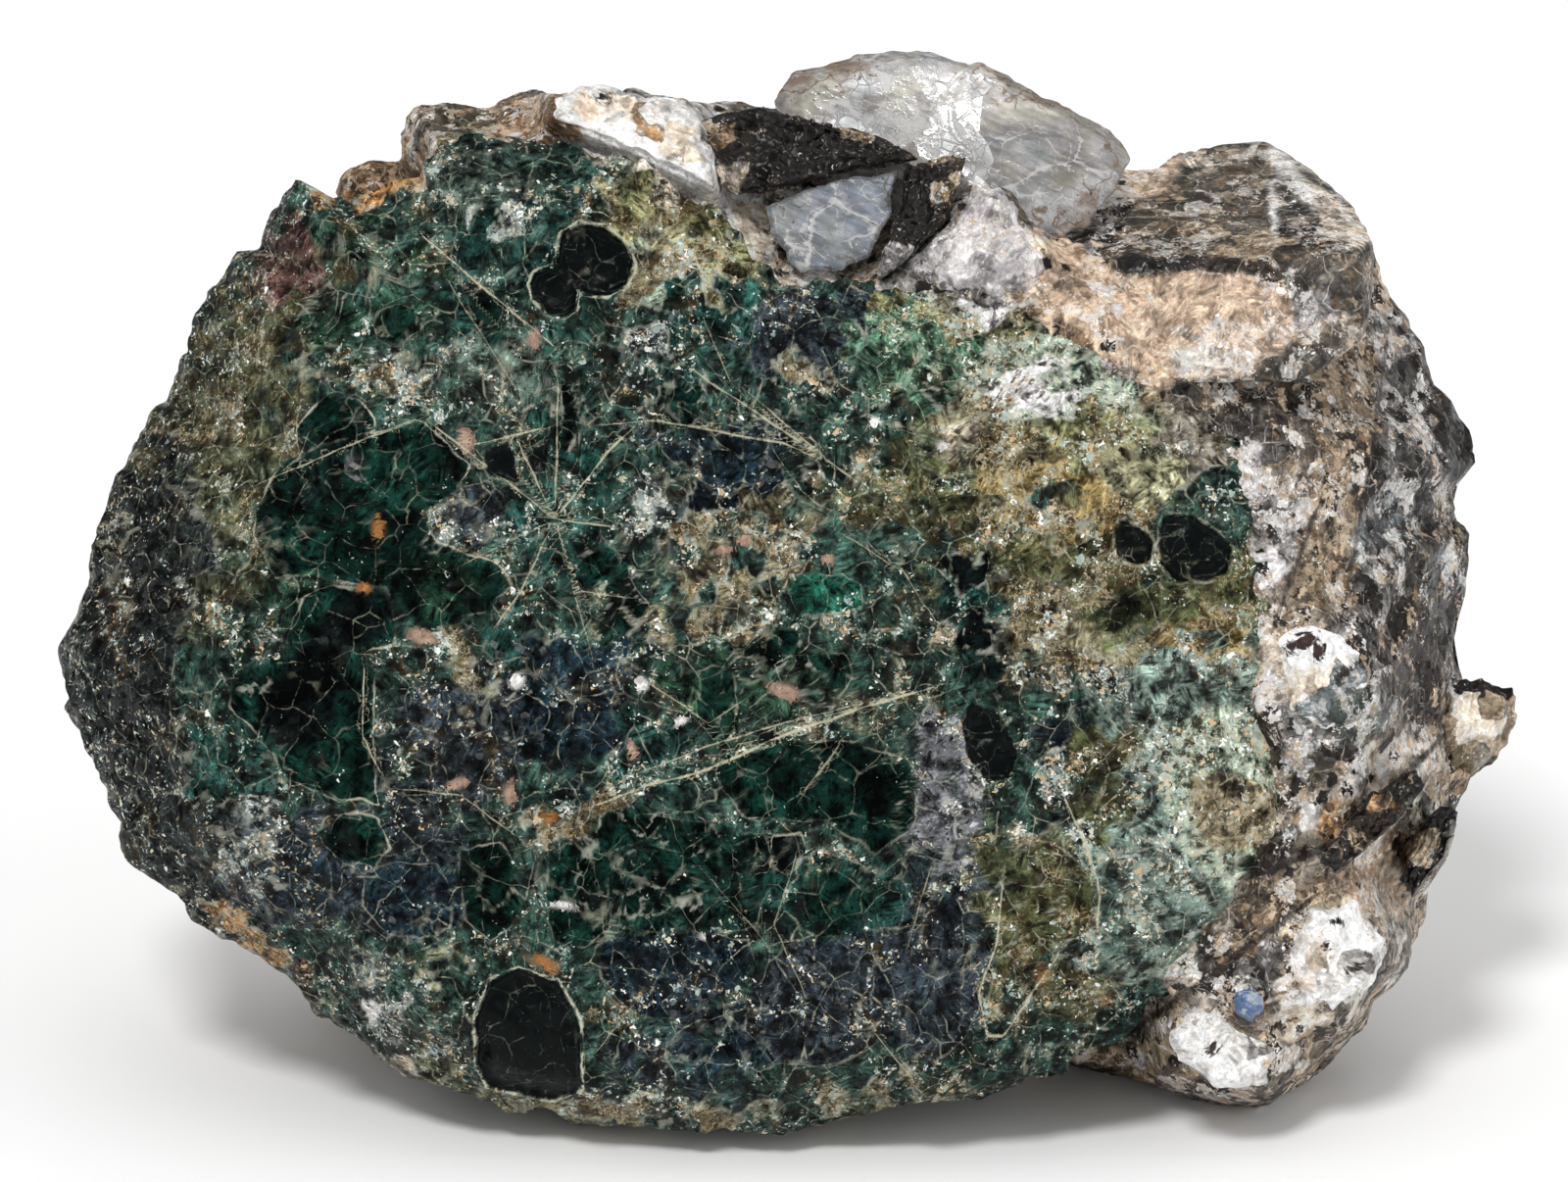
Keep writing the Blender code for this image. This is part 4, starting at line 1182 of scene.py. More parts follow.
    def outlines(self, g: Graph, colour: Any, wide: Any, fine: Any, stain: Any) -> Socket:
        """Draws the rims of patches, the seams between grains, the small crystals and the veins."""
        edge = g.fall(g.size(g.read("rim")), g.climb(wide, 0.35, 0.65, 0.02, 0.17))
        edge = g.times(g.times(edge, g.read("rim_on")), g.climb(fine, 0.36, 0.52, 0.3, 0.8))
        colour = g.blend(edge, colour, g.blend(stain, self.rim, self.fibres[2]))
        gap = g.fall(g.read("seam"), g.climb(wide, 0.38, 0.62, 0.02, 0.16))
        colour = g.blend(g.times(gap, g.times(g.read("seam_on"), self.seam_share)), colour, self.seam)
        spot = g.plus(g.read("spot"), g.climb(fine, 0.3, 0.7, -0.2, 0.25))
        colour = g.blend(g.fall(spot, 0.12, 0.8, 0.03), colour, self.mica)
        crystal = g.tint(g.read("spot_tint", "Color"), g.climb(fine, 0.34, 0.66, 0.55, 1.35))
        colour = g.blend(g.fall(spot, 0.03, 1.0, -0.03), colour, crystal)
        ragged = g.times(g.read("vein_width"), g.climb(wide, 0.35, 0.65, 0.45, 1.1))
        vein = g.fall(g.size(g.read("vein")), ragged, 1.0, g.times(ragged, 0.3))
        twin = g.less(g.read("vein"), g.climb(wide, 0.32, 0.68, -0.42, 0.42))
        ragged = g.times(ragged, 0.55)
        twin = g.fall(g.size(twin), ragged, 0.8, g.times(ragged, 0.3))
        vein = g.most(g.times(vein, g.climb(wide, 0.36, 0.5, 0.55, 1.0)), twin)
        vein = g.times(g.times(vein, g.read("vein_on")), g.climb(fine, 0.36, 0.52, 0.3, 1.0))
        return g.blend(vein, colour, self.vein)

    def panes(self, g: Graph, colour: Any, coarse: tuple[Any, Any, Any], scratch: Any) -> tuple[Any, Any]:
        """Draws the dark crystals that look like windows, with ragged pale rims.

        Args:
            g: The material's graph.
            colour: The colour so far.
            coarse: Three coarse noises.
            scratch: What thin lines leave of the windows.

        Returns:
            The colour, and where the windows are.
        """
        if not self.windows:
            return colour, 0.0
        red, green, blue = coarse
        pane = g.plus(g.read("pane"), g.times(g.less(blue, 0.5), 0.5))
        inside = g.fall(pane, 0.0, 1.0, -0.15)
        deep = g.blend(red, (0.0010, 0.0012, 0.0012), (0.003, 0.006, 0.006))
        colour = g.blend(g.times(inside, scratch), colour, deep)
        rim = g.fall(g.size(g.less(pane, 0.10)), g.climb(green, 0.36, 0.64, 0.03, 0.20))
        rim = g.times(rim, g.times(g.read("pane_rim"), g.climb(blue, 0.40, 0.54, 0.1, 1.0)))
        return g.blend(rim, colour, self.rim), inside


SLACK = 1e-6
RING_GAP = 0.45


class Fracture(Enum):
    """How a mineral breaks: the size and height of its facets, coarse to fine."""

    GLASSY = ((7.0, 0.40), (2.4, 0.06))
    BLOCKY = ((3.0, 0.60), (1.2, 0.28), (0.5, 0.10))
    SUGARY = ((2.6, 0.40), (1.0, 0.30), (0.45, 0.14))
    SHEETS = ((2.4, 0.50), (1.0, 0.26), (0.5, 0.10))


@dataclass(frozen=True)
class Grain:
    """One mineral grain in the rock, drawn by its outline in the face frame.

    Attributes:
        name: The piece's name.
        node: The solid that it replaces.
        outline: Its corners, counterclockwise or clockwise.
        front: The depth of its front in the middle.
        slope: How its front rises along u and v.
        thick: The depth of the whole grain.
        table: The share of the outline that its flat front takes.
        drop: How far its bevelled edge falls.
        foot: The share that its buried foot takes.
        fracture: How it breaks.
        sunk: How far below its front the rock lies inside its outline.
        lie: The direction of its sheets in degrees, for mica.
        sheet: The thickness of one pack of sheets, 0 for none.
        grip: How far around it the rock rises to hold it, 0 for none.
        ragged: How rough its outline is.
        half: Steps from its front grid's middle to its edge.
        seed: Picks its random fields.
    """

    name: str
    node: str
    outline: tuple[Point, ...]
    front: float
    slope: Point
    thick: float
    table: float = 0.85
    drop: float = 0.7
    foot: float = 0.8
    fracture: Fracture = Fracture.BLOCKY
    sunk: float = 0.9
    lie: float = 0.0
    sheet: float = 0.0
    grip: float = 0.0
    ragged: float = 0.3
    half: int = 46
    seed: int = 101

    def middle(self) -> Array:
        """The mean of its corners."""
        return np.array(self.outline).mean(axis=0)

    def front_depth(self, u: Array, v: Array) -> Array:
        """The flat front's depth: front + slope * (place - middle)."""
        middle = self.middle()
        return self.front + (u - middle[0]) * self.slope[0] + (v - middle[1]) * self.slope[1]

    def reach(self, angle: Array, ragged: float) -> Array:
        """How far the outline lies from the middle: where a ray in each direction meets an edge.

        Args:
            angle: Directions.
            ragged: How rough the outline is.

        Returns:
            Distances.
        """
        corners = np.array(self.outline) - self.middle()
        way = np.stack([np.cos(angle), np.sin(angle)], axis=-1)
        found = np.zeros(angle.shape)
        for start, end in zip(corners, np.roll(corners, -1, axis=0)):
            run = end - start
            normal = np.array([run[1], -run[0]])
            facing = way @ normal
            distance = (start @ normal) / np.where(abs(facing) < TINY, TINY, facing)
            along = (distance[:, None] * way - start) @ run / (run @ run)
            hit = (distance > 0.0) & (along > -SLACK) & (along < 1.0 + SLACK)
            found = np.where(hit & (distance > found), distance, found)
        ring = np.append(way * found[:, None] + self.middle(), 0.0 * found[:, None], axis=1)
        rough = Noise.relief(ring, (1.7, 1.0, self.seed + 11), (0.7, 0.6, self.seed + 12))
        return found + ragged * rough

    def relief(self, points: Array) -> Array:
        """Facets by the mineral's fracture, and for mica a sawtooth across its sheets."""
        layers = [(size, tall, self.seed + k) for k, (size, tall) in enumerate(self.fracture.value)]
        total = Noise.relief(points, *layers)
        if self.sheet:
            turn = math.radians(self.lie)
            across = points[..., 1] * math.cos(turn) - points[..., 0] * math.sin(turn)
            row = across / self.sheet + 2.2 * Noise.fractal(points, 3.5, 3, self.seed + 7)
            total = total + 0.30 * self.sheet * (row - np.floor(row) - 0.5)
        return total

    def surface(self) -> tuple[Array, int]:
        """The whole closed skin in the face frame.

        The front is front_depth less drop * bevel**1.5, where bevel climbs from the table to the
        outline. The sides run straight from the outline to the foot, and a fan closes the back.

        Returns:
            The points, and how many rings lie between front and back.
        """
        share, angle = Sheet.disc(self.half)
        edge = Sheet.edge(self.half)
        middle, distance = self.middle(), self.reach(angle, self.ragged)

        def at(part: Array | float, way: Array, far: Array) -> tuple[Array, Array]:
            return middle[0] + part * far * np.cos(way), middle[1] + part * far * np.sin(way)

        u, v = at(share, angle, distance)
        bevel = np.clip((share - self.table) / (1.0 - self.table), 0.0, 1.0)
        front = np.stack([u, v, self.front_depth(u, v) - self.drop * bevel**1.5], axis=-1)
        side = np.stack([np.cos(angle), np.sin(angle), 0.0 * angle], axis=-1)
        lift = np.array([0.0, 0.0, 1.0]) * (1.0 - 0.6 * bevel[:, None]) + side * 0.6 * bevel[:, None]
        front = front + lift * self.relief(front)[:, None]
        around, rim = angle[edge], front[edge]
        plain = self.reach(around, 0.0)
        rough = side[edge] * (distance[edge] - plain)[:, None]
        u, v = at(self.foot, around, plain)
        foot = np.stack([u, v, self.front_depth(u, v) - self.thick], axis=-1)
        rings = []
        for t in np.linspace(0.0, 1.0, max(4, int(self.thick / RING_GAP)) + 1)[1:]:
            ring = rim + (foot - rim) * t - rough * ((1.0 - t) - (1.0 - t) ** 3)
            rings.append(ring + side[edge] * (self.relief(ring) * 0.6 * math.sin(math.pi * t))[:, None])
        back = np.append(middle, self.front - self.thick)
        return np.concatenate([front, *rings, [back]]), len(rings)

    def build(self, material: Material, slot: str, painting: Painting | None) -> Piece:
        """Builds and dresses the grain.

        Args:
            material: Its finish.
            slot: The record's material slot.
            painting: What it is made of, for a finish that reads a painting.

        Returns:
            The finished piece.
        """
        points, rings = self.surface()
        piece = make_piece(self.name, FACE.to_row(points), Sheet.faces(self.half, rings, True, False))
        away = points[:, :2] - self.middle()
        angle = np.arctan2(away[:, 1], away[:, 0]) + SLACK
        share = np.hypot(away[:, 0], away[:, 1]) / self.reach(angle, self.ragged)
        survey = painting.survey(points) if painting else {}
        paint(piece, {"edge": np.clip(share, 0.0, 1.0), **survey})
        settle(piece, material, slot, self.node)
        return piece


@dataclass(frozen=True)
class Block:
    """A flat-faced crystal: the space inside the planes through its outermost corners.

    Attributes:
        name: The piece's name.
        node: The solid that it replaces.
        corners: Its corners in the face frame.
        half: Steps from each half's middle to its edge.
        crisp: How sharp its edges are.
        seed: Picks its random fields.
    """

    name: str
    node: str
    corners: tuple[Place, ...]
    half: int = 76
    crisp: float = 46.0
    seed: int = 201

    def planes(self) -> Array:
        """The way each outer plane looks, divided by its distance from the middle."""
        corners = np.array(self.corners) - np.mean(self.corners, axis=0)
        a, b, c = (corners[list(pick)] for pick in zip(*combinations(range(len(corners)), 3)))
        normal = unit(np.cross(b - a, c - a))
        distance = np.sum(normal * a, axis=1)
        normal, distance = normal * np.sign(distance)[:, None], abs(distance)
        beyond = corners @ normal.T - distance
        outer = (beyond.max(axis=0) < 1e-4) & (distance > 0.5)
        return np.unique(np.round(normal[outer] / distance[outer, None], 4), axis=0)

    def surface(self) -> Array:
        """Points on two hemispheres of directions, front and back.

        The distance in each direction is the soft least of the planes' distances:
        (sum of (facing share)**crisp)**(-1 / crisp).
        """
        share, angle = Sheet.disc(self.half)
        halves = []
        for tilt in (share * math.pi / 2, math.pi - share * (math.pi / 2 - 0.02)):
            flat = np.sin(tilt)
            halves.append(np.stack([flat * np.cos(angle), flat * np.sin(angle), np.cos(tilt)], axis=-1))
        ways = np.concatenate(halves)
        facing = np.maximum(ways @ self.planes().T, 0.0)
        distance = np.sum(facing**self.crisp, axis=1) ** (-1.0 / self.crisp)
        points = np.mean(self.corners, axis=0) + ways * distance[:, None]
        relief = 0.30 * Noise.facets(points, 4.2, self.seed, 6.0)
        relief += 0.16 * Noise.facets(points, 1.5, self.seed + 1)
        relief += 0.07 * Noise.facets(points, 0.7, self.seed + 2)
        return points + ways * relief[:, None]

    def build(self, material: Material, slot: str, painting: Painting) -> Piece:
        """Builds and dresses the block.

        Args:
            material: Its finish.
            slot: The record's material slot.
            painting: What it is made of, patch by patch.

        Returns:
            The finished piece.
        """
        points = self.surface()
        piece = make_piece(self.name, FACE.to_row(points), Sheet.faces(self.half, 0, True, True))
        paint(piece, painting.survey(points))
        settle(piece, material, slot, self.node)
        return piece


@dataclass(frozen=True)
class QuartzFinish:
    """Clear crystal with fine inner cracks: plain transmission, IOR and absorption.

    Attributes:
        name: The material's name.
        tone: Its colour where it is clear.
        cloud: Its colour along cracks and in clouds.
        rind: The colour of its weathered edge and of stained cracks.
        clear: How much light passes.
        body: The colour that is left of light deep inside.
        density: How strongly it absorbs, per metre.
        cloudy: How much of it is clouded, from 0 to 1.
    """

    name: str
    tone: Colour = (0.66, 0.63, 0.62)
    cloud: Colour = (0.95, 0.94, 0.92)
    rind: Colour = (0.30, 0.17, 0.09)
    clear: float = 0.55
    body: Colour = (0.72, 0.74, 0.78)
    density: float = 60.0
    cloudy: float = 0.5

    def make(self) -> Material:
        """Builds the material."""
        material, g, shader = new_finish(self.name)
        at = g.place()
        red, green, blue = g.split(g.noise(at, 240.0, 5.0, 0.66))[:3]
        fine = g.use(Effects.streaks(), Vector=at, Scale=2600.0, Angle=0.5)
        hue = g.blend(g.climb(blue, 0.40, 0.60), (1.13, 1.0, 0.88), (0.89, 0.98, 1.13))
        colour = g.tint(g.tint(self.tone, hue), g.climb(red, 0.34, 0.66, 0.62, 1.32))
        colour = g.tint(colour, g.climb(fine["Value"], 0.3, 0.7, 0.75, 1.25))
        clouds = g.climb(green, 0.62 - 0.2 * self.cloudy, 0.74 - 0.2 * self.cloudy)
        veil = g.times(clouds, g.climb(fine["Second"], 0.36, 0.60, 0.15, 0.95))
        crumb = g.use(Effects.crumbs(), Vector=at, Scale=4200.0, Amount=g.times(clouds, 0.6))
        veil = g.most(veil, crumb["Mask"])
        for scale, low, high in ((150.0, 0.34, 0.48), (380.0, 0.40, 0.52), (900.0, 0.42, 0.54)):
            width = g.climb(fine["Value"], 0.35, 0.65, 0.006, 0.050)
            crack = g.use(Effects.cracks(), Vector=at, Scale=scale, Width=width)["Line"]
            veil = g.most(veil, g.times(crack, g.climb(blue, low, high, 0.0, 1.0)))
        colour = g.blend(veil, colour, self.cloud)
        edge = g.plus(g.times(g.read("edge"), 0.30), g.times(red, 0.7))
        hair = g.use(Effects.hairs(), Vector=at, Scale=300.0, Width=0.022, Amount=g.climb(edge, 0.46, 0.66))
        stained = g.most(g.times(hair["Line"], 0.9), g.climb(edge, 0.64, 0.72, 0.0, 0.75))
        colour = g.blend(stained, colour, self.rind)
        amount = g.climb(edge, 0.5, 0.7, 0.05, 0.42)
        speck = g.use(Effects.specks(), Vector=at, Scale=2600.0, Amount=amount, Soft=0.04)
        colour = g.blend(g.times(speck["Mask"], 0.85), colour, (0.05, 0.045, 0.045))
        g.feed(shader.inputs["Base Color"], colour)
        rough = g.plus(g.times(veil, 0.35), g.climb(blue, 0.35, 0.65, 0.08, 0.30), clamp=True)
        g.feed(shader.inputs["Roughness"], rough)
        chips = g.use(Effects.sparkle(), Vector=at, Scale=260.0, Tilt=0.30)["Height"]
        g.feed(shader.inputs["Normal"], g.bump(g.plus(chips, g.times(veil, 0.00004))))
        shader.inputs["IOR"].default_value = STONE_IOR
        shader.inputs["Transmission Weight"].default_value = self.clear
        depth = g.add("VolumeAbsorption", None, Color=self.body, Density=self.density)
        g.feed(g.tree.nodes["Material Output"].inputs["Volume"], depth.outputs[0])
        return material


@dataclass(frozen=True)
class Pane:
    """A dark crystal in the face that looks like a black window.

    Attributes:
        outline: Its corners, in face millimetres.
        rim: How pale its rim is, from 0 to 1.
        depth: How deep it lies.
    """

    outline: tuple[Point, ...]
    rim: float = 1.0
    depth: float = 0.5


@dataclass
class Cordierite:
    """The blue-green mass that fills the front.

    Attributes:
        painting: What the face is made of.
        veins: Its bright needles and cracks.
        panes: Its dark crystals.
        half: Steps from the face grid's middle to its edge.
        side_rings: Rings down the broken side.
    """

    painting: Painting
    veins: tuple[Vein, ...]
    panes: tuple[Pane, ...]
    half: int = 132
    side_rings: int = 22

    def build(self) -> Piece:
        """Builds and dresses the mass.

        Returns:
            The finished piece.
        """
        share, angle = Sheet.disc(self.half)
        edge = Sheet.edge(self.half)
        flat = self.flat_face(share, angle)
        surveyed = self.painting.survey(flat)
        front = self.face(flat, share, angle, surveyed["glass"])
        rings = self.sides(front[edge], angle[edge])
        rest = np.concatenate([*rings, [[*CENTRE, -18.0]]])
        points = np.concatenate([front, rest])
        faces = Sheet.faces(self.half, len(rings), True, False)
        piece = make_piece("cordierite_mass", FACE.to_row(points), faces)
        behind = self.painting.survey(rest)
        values = {name: np.concatenate([value, behind[name]]) for name, value in surveyed.items()}
        self.dress(piece, points, values)
        settle(piece, StoneFinish("cordierite", windows=True).make(), "cordierite", "cordierite")
        return piece

    def flat_face(self, share: Array, angle: Array) -> Array:
        """The face before it gets its relief: places inside a ragged outline, at no depth."""
        distance = reach(CORDIERITE_EDGE, angle)
        turn = FORM.turn_down(share, angle, distance)
        ring = place(distance, angle, 0.0)
        ragged = Noise.relief(ring, (3.6, 0.30, 5), (1.2, 0.22, 6), (0.6, 0.12, 7))
        ragged *= 1.0 + 1.3 * FORM.matrix_share(angle)[0]
        return place(share * (distance + ragged * turn**2), angle, 0.0)

    def face(self, flat: Array, share: Array, angle: Array, glass: Array) -> Array:
        """The front: a dome less its bevelled edge, with wells at the panes and broken relief.

        w = dome - drop * turn**1.6 + relief, where turn climbs from 0 on the face to 1 at the
        outline, and the relief is calmer where the patches are glass.
        """
        turn = FORM.turn_down(share, angle, reach(CORDIERITE_EDGE, angle))
        points = flat.copy()
        u, v = points[:, 0], points[:, 1]
        calm = 1.0 - 0.7 * glass
        swell = 0.36 * Noise.facets(flat, 7.0, 21, 5.0) + 0.10 * Noise.fractal(flat, 9.0, 2, 22)
        chips = Noise.relief(flat, (2.2, 0.20, 23), (0.9, 0.10, 24))
        rim = Noise.relief(flat, (3.2, 0.75, 25), (1.2, 0.40, 26))
        pane, depth, _ = self.near_pane(u, v)
        well = -depth * (1.0 - smooth_step(-0.25, 0.05, pane)) + 0.2 * np.exp(-((pane - 0.25) / 0.28) ** 2)
        drop = by_direction(FORM.bevel_drop, angle) * turn**1.6
        rim = rim * smooth_step(0.1, 0.6, turn)
        points[:, 2] = FORM.dome(u, v) - drop + swell + chips * calm + rim + well
        return points

    def sides(self, start: Array, around: Array) -> list[Array]:
        """Rings from the outline back to the buried edge, swelling out where no matrix hides them."""
        distance = reach(CORDIERITE_EDGE, around) * by_direction(FORM.back_share, around)
        end = place(distance, around, by_direction(FORM.back_depth, around) - 0.8)
        bare = 1.0 - FORM.matrix_share(around)[0]
        outward = np.stack([np.cos(around), np.sin(around), 0.0 * around], axis=-1)
        rings = []
        for t in np.linspace(0.0, 1.0, self.side_rings + 1)[1:]:
            ring = start + (end - start) * t
            broken = Noise.relief(ring, (4.0, 0.8, 31), (1.4, 0.4, 32))
            swell = bare * (0.9 * math.sin(math.pi * t) + broken * min(1.0, 6.0 * (1.0 - t)))
            rings.append(ring + outward * (swell - 0.5 * (1.0 - bare))[:, None])
        return rings

    def near_pane(self, u: Array, v: Array) -> tuple[Array, Array, Array]:
        """The distance to the nearest pane's outline, negative inside, and its depth and rim."""
        nearest, depth, rim = np.full(u.shape, FAR), np.zeros(u.shape), np.zeros(u.shape)
        for pane in self.panes:
            away = from_outline(u, v, pane.outline)
            closer = away < nearest
            nearest = np.where(closer, away, nearest)
            depth = np.where(closer, pane.depth, depth)
            rim = np.where(closer, pane.rim, rim)
        return nearest, depth, rim

    def dress(self, piece: Piece, points: Array, values: Values) -> None:
        """Stores the painted values on the piece.

        The hair lines run where a warped noise passes zero, and the walls are those of cells.

        Args:
            piece: The piece.
            points: Its points in the face frame.
            values: What the painting found at each point.
        """
        values.update(trace_veins(points, self.veins))
        u, v = points[:, 0], points[:, 1]
        angle = np.arctan2(v - CENTRE[1], u - CENTRE[0])
        distance = reach(CORDIERITE_EDGE, angle)
        share = np.hypot(u - CENTRE[0], v - CENTRE[1]) / distance
        turn = FORM.turn_down(np.minimum(share, 1.0), angle, distance)
        sideways = smooth_step(-7.0, -10.0, points[:, 2] + 0.0 * turn)
        side = smooth_step(0.55, 0.95, turn) * by_direction(FORM.bevel_drop, angle) / 10.0
        side = np.maximum(side, sideways)
        umber = np.array(Kind.RIM.value.colour)
        values["tint"] += (umber - values["tint"]) * 0.5 * side[:, None]
        values["dark"] = np.maximum(values["dark"], 0.4 * side)
        values["glass"] = values["glass"] * (1.0 - side)
        values["frost"] += (0.30 - values["frost"]) * side
        fade = smooth_step(-0.15, 0.35, Noise.fractal(points, 5.0, 3, 66))
        values["hair_on"] = fade * (1.0 - 0.55 * values["glass"])
        values["pane"], _, values["pane_rim"] = self.near_pane(u, v)
        paint(piece, values)


def rock_finish(name: str, glassy: float = 0.28, grains: float = 1.0, dim: float = 0.62) -> Material:
    """The rock's finish, by a name, its roughness where glassy, its grains and its darkest shade."""
    return StoneFinish(
        name, (dim, 1.3), ((0.62, 0.62, 0.62), (0.84, 0.78, 0.68), (0.60, 0.40, 0.24), (0.90, 0.88, 0.84)),
        ((0.160, 0.085, 0.035), (0.420, 0.280, 0.160), (0.760, 0.600, 0.420)), (0.70, 0.64, 0.56),
        (0.020, 0.014, 0.010), 0.75, (0.42, 0.32, 0.22), (0.020, 0.013, 0.010), rough=(0.5, glassy),
        grains=grains, fibrous=0.4, broken=0.8, shine=0.3,
    ).make()


@dataclass
class HostRock:
    """The feldspar and mica rock behind, above and to the right of the cordierite.

    Attributes:
        painting: What it is made of.
        veins: Its dark seams.
        rear_painting: What its hidden rear is made of.
        bedded: The grains that it is hollowed for.
        half: Steps from the rear grid's middle to its edge.
        rings: Rings from the cordierite's rim to the rear.
        lumps: Swellings and hollows: the place, width and height of each.
        breaks: Flat breaks: the way that each looks, and its distance from MIDDLE.
    """

    painting: Painting
    veins: tuple[Vein, ...]
    rear_painting: Painting
    bedded: tuple[Grain, ...]
    half: int = 80
    rings: int = 96
    lumps: tuple[tuple[Place, float, float], ...] = (
        ((45.0, 9.0, -22.0), 4.0, 1.2), ((38.0, -20.0, -26.0), 8.0, 1.6),
        ((20.0, 12.0, -36.0), 9.0, 2.4), ((-14.0, 6.0, -36.0), 10.0, 2.8),
        ((-30.0, -8.0, -34.0), 7.0, 1.8), ((4.0, -14.0, -37.0), 8.0, -2.0),
        ((28.0, -6.0, -36.0), 7.0, 2.2), ((-6.0, 20.0, -32.0), 7.0, -1.8),
        ((-24.0, 18.0, -30.0), 6.0, 1.6), ((10.0, 24.0, -29.0), 6.0, 1.4),
        ((-36.0, 4.0, -29.0), 6.0, 1.5),
    )
    breaks: tuple[tuple[Place, float], ...] = (
        ((0.05, -0.12, -0.99), 20.5), ((0.60, 0.08, -0.80), 29.0), ((-0.62, 0.20, -0.76), 31.0),
        ((0.10, 0.60, -0.79), 22.5), ((0.34, 0.36, -0.87), 23.0), ((-0.30, 0.42, -0.86), 23.0),
        ((0.86, 0.20, -0.47), 38.0), ((-0.84, -0.20, -0.50), 35.5), ((-0.20, -0.40, -0.89), 28.5),
    )

    def build(self) -> Piece:
        """Builds and dresses the rock.

        Returns:
            The finished piece.
        """
        around = Sheet.disc(self.half)[1][Sheet.edge(self.half)]
        flank, sideways = self.flank(around)
        rear = self.rear(flank)
        rings = self.bed_grains(self.weather(flank, sideways))
        points = np.concatenate([[[*CENTRE, -19.0]], rings[:-1].reshape(-1, 3), rear])
        faces = Sheet.faces(self.half, len(rings) - 1, False, True)
        piece = make_piece("host_rock", FACE.to_row(points), faces)
        self.dress(piece, points)
        settle(piece, rock_finish("host_rock"), "matrix", "matrix")
        return piece

    def flank(self, around: Array) -> tuple[Array, Array]:
        """The shelf and the sides, as rings that follow one profile in each direction.

        The shelf falls from its top by depth = top + fall * t**power as it reaches out, and the
        sides draw in by (share - 1) * t**2 as they run back.

        Args:
            around: The direction of each point of a ring.

        Returns:
            Points in the face frame, one row for each ring, and how far down the sides each lies.
        """
        out_share, up_share = FORM.matrix_share(around)
        cord = reach(CORDIERITE_EDGE, around)
        stone = np.maximum(reach(MATRIX_EDGE, around), cord + 1.4)
        hidden = by_direction(FORM.back_share, around) * cord
        back = by_direction(FORM.back_depth, around) - 0.4
        top, foot = by_direction(FORM.shelf_top, around), by_direction(FORM.edge_depth, around)
        start = hidden - 0.45 + (cord - 1.7 - hidden + 0.45) * out_share
        outer = hidden + 0.2 + (stone - hidden - 0.2) * out_share
        outer_depth = back - 0.8 + (foot - back + 0.8) * up_share
        rear_share, rear_depth = by_direction(FORM.rear_share, around), by_direction(FORM.rear_depth, around)
        shelf_run = out_share * np.hypot(stone - cord, foot - top) + 0.6
        side_run = np.hypot(outer * (1.0 - rear_share), outer_depth - rear_depth)
        turn = shelf_run / (shelf_run + side_run)
        s = np.linspace(0.0, 1.0, self.rings + 1)[:, None]
        out, down = np.clip(s / turn, 0.0, 1.0), np.clip((s - turn) / (1.0 - turn), 0.0, 1.0)
        tucked = 0.7 * (1.0 - smooth_step(0.0, 1.0, out * (outer - start) / 1.3)) * up_share
        fall = top + (foot - top) * out ** by_direction(FORM.shelf_power, around) - tucked
        shelf_depth = outer_depth + (fall - foot) * up_share + (1.0 - up_share) * 0.7 * (1.0 - out)
        draw = 1.0 + (rear_share - 1.0) * down**2 + 0.03 * np.sin(np.pi * down)
        distance = np.where(s < turn, start + (outer - start) * out, outer * draw)
        depth = np.where(s < turn, shelf_depth, outer_depth + (rear_depth - outer_depth) * down)
        return place(distance, around[None, :] + 0.0 * s, depth), down

    def rear(self, flank: Array) -> Array:
        """The rear sheet: depth = rim * share**2 + middle * (1 - share**2), lumped and broken flat."""
        share, angle = Sheet.disc(self.half)
        edge = Sheet.edge(self.half)
        last = flank[-1]
        order = np.argsort(angle[edge])
        around = angle[edge][order]
        spread = np.hypot(last[:, 0] - CENTRE[0], last[:, 1] - CENTRE[1])[order]
        rim = np.interp(angle, around, last[order, 2], period=TURN)
        distance = share * np.interp(angle, around, spread, period=TURN)
        points = self.shape(place(distance, angle, rim * share**2 - 37.0 * (1.0 - share**2)))
        return points + self.outward(points) * self.relief(points)[..., None]

    def outward(self, points: Array) -> Array:
        """The direction from the stone's middle to each point."""
        return unit(points - MIDDLE)

    def shape(self, points: Array) -> Array:
        """Pushes rock out at each lump, and brings it back to each flat break."""
        outward = self.outward(points)
        for where, size, tall in self.lumps:
            away = np.linalg.norm(points - np.array(where), axis=-1, keepdims=True) / size
            points = points + outward * tall * np.exp(-(away**2))
        for way, distance in self.breaks:
            way = np.array(way) / np.linalg.norm(way)
            beyond = np.maximum((points - MIDDLE) @ way - distance, 0.0)
            points = points - beyond[..., None] * way
        return points

    def relief(self, points: Array) -> Array:
        """How far broken facets of four sizes stand out."""
        return Noise.relief(points, (6.5, 0.95, 71), (2.8, 0.50, 72), (1.3, 0.26, 73), (0.7, 0.12, 74))

    def weather(self, flank: Array, down: Array) -> Array:
        """Shapes the sides and moves every ring point along its normal by the relief."""
        side = smooth_step(0.0, 0.2, down)[..., None]
        shaped = flank + (self.shape(flank) - flank) * side
        along = np.gradient(shaped, axis=0)
        across = np.roll(shaped, -1, axis=1) - np.roll(shaped, 1, axis=1)
        far = smooth_step(0.8, 1.0, down)[..., None]
        way = unit(np.cross(along, across)) * (1.0 - far) + self.outward(shaped) * far
        start = smooth_step(0.0, 0.06, np.linspace(0.0, 1.0, len(flank)))[:, None]
        return shaped + way * (self.relief(shaped) * start)[..., None]

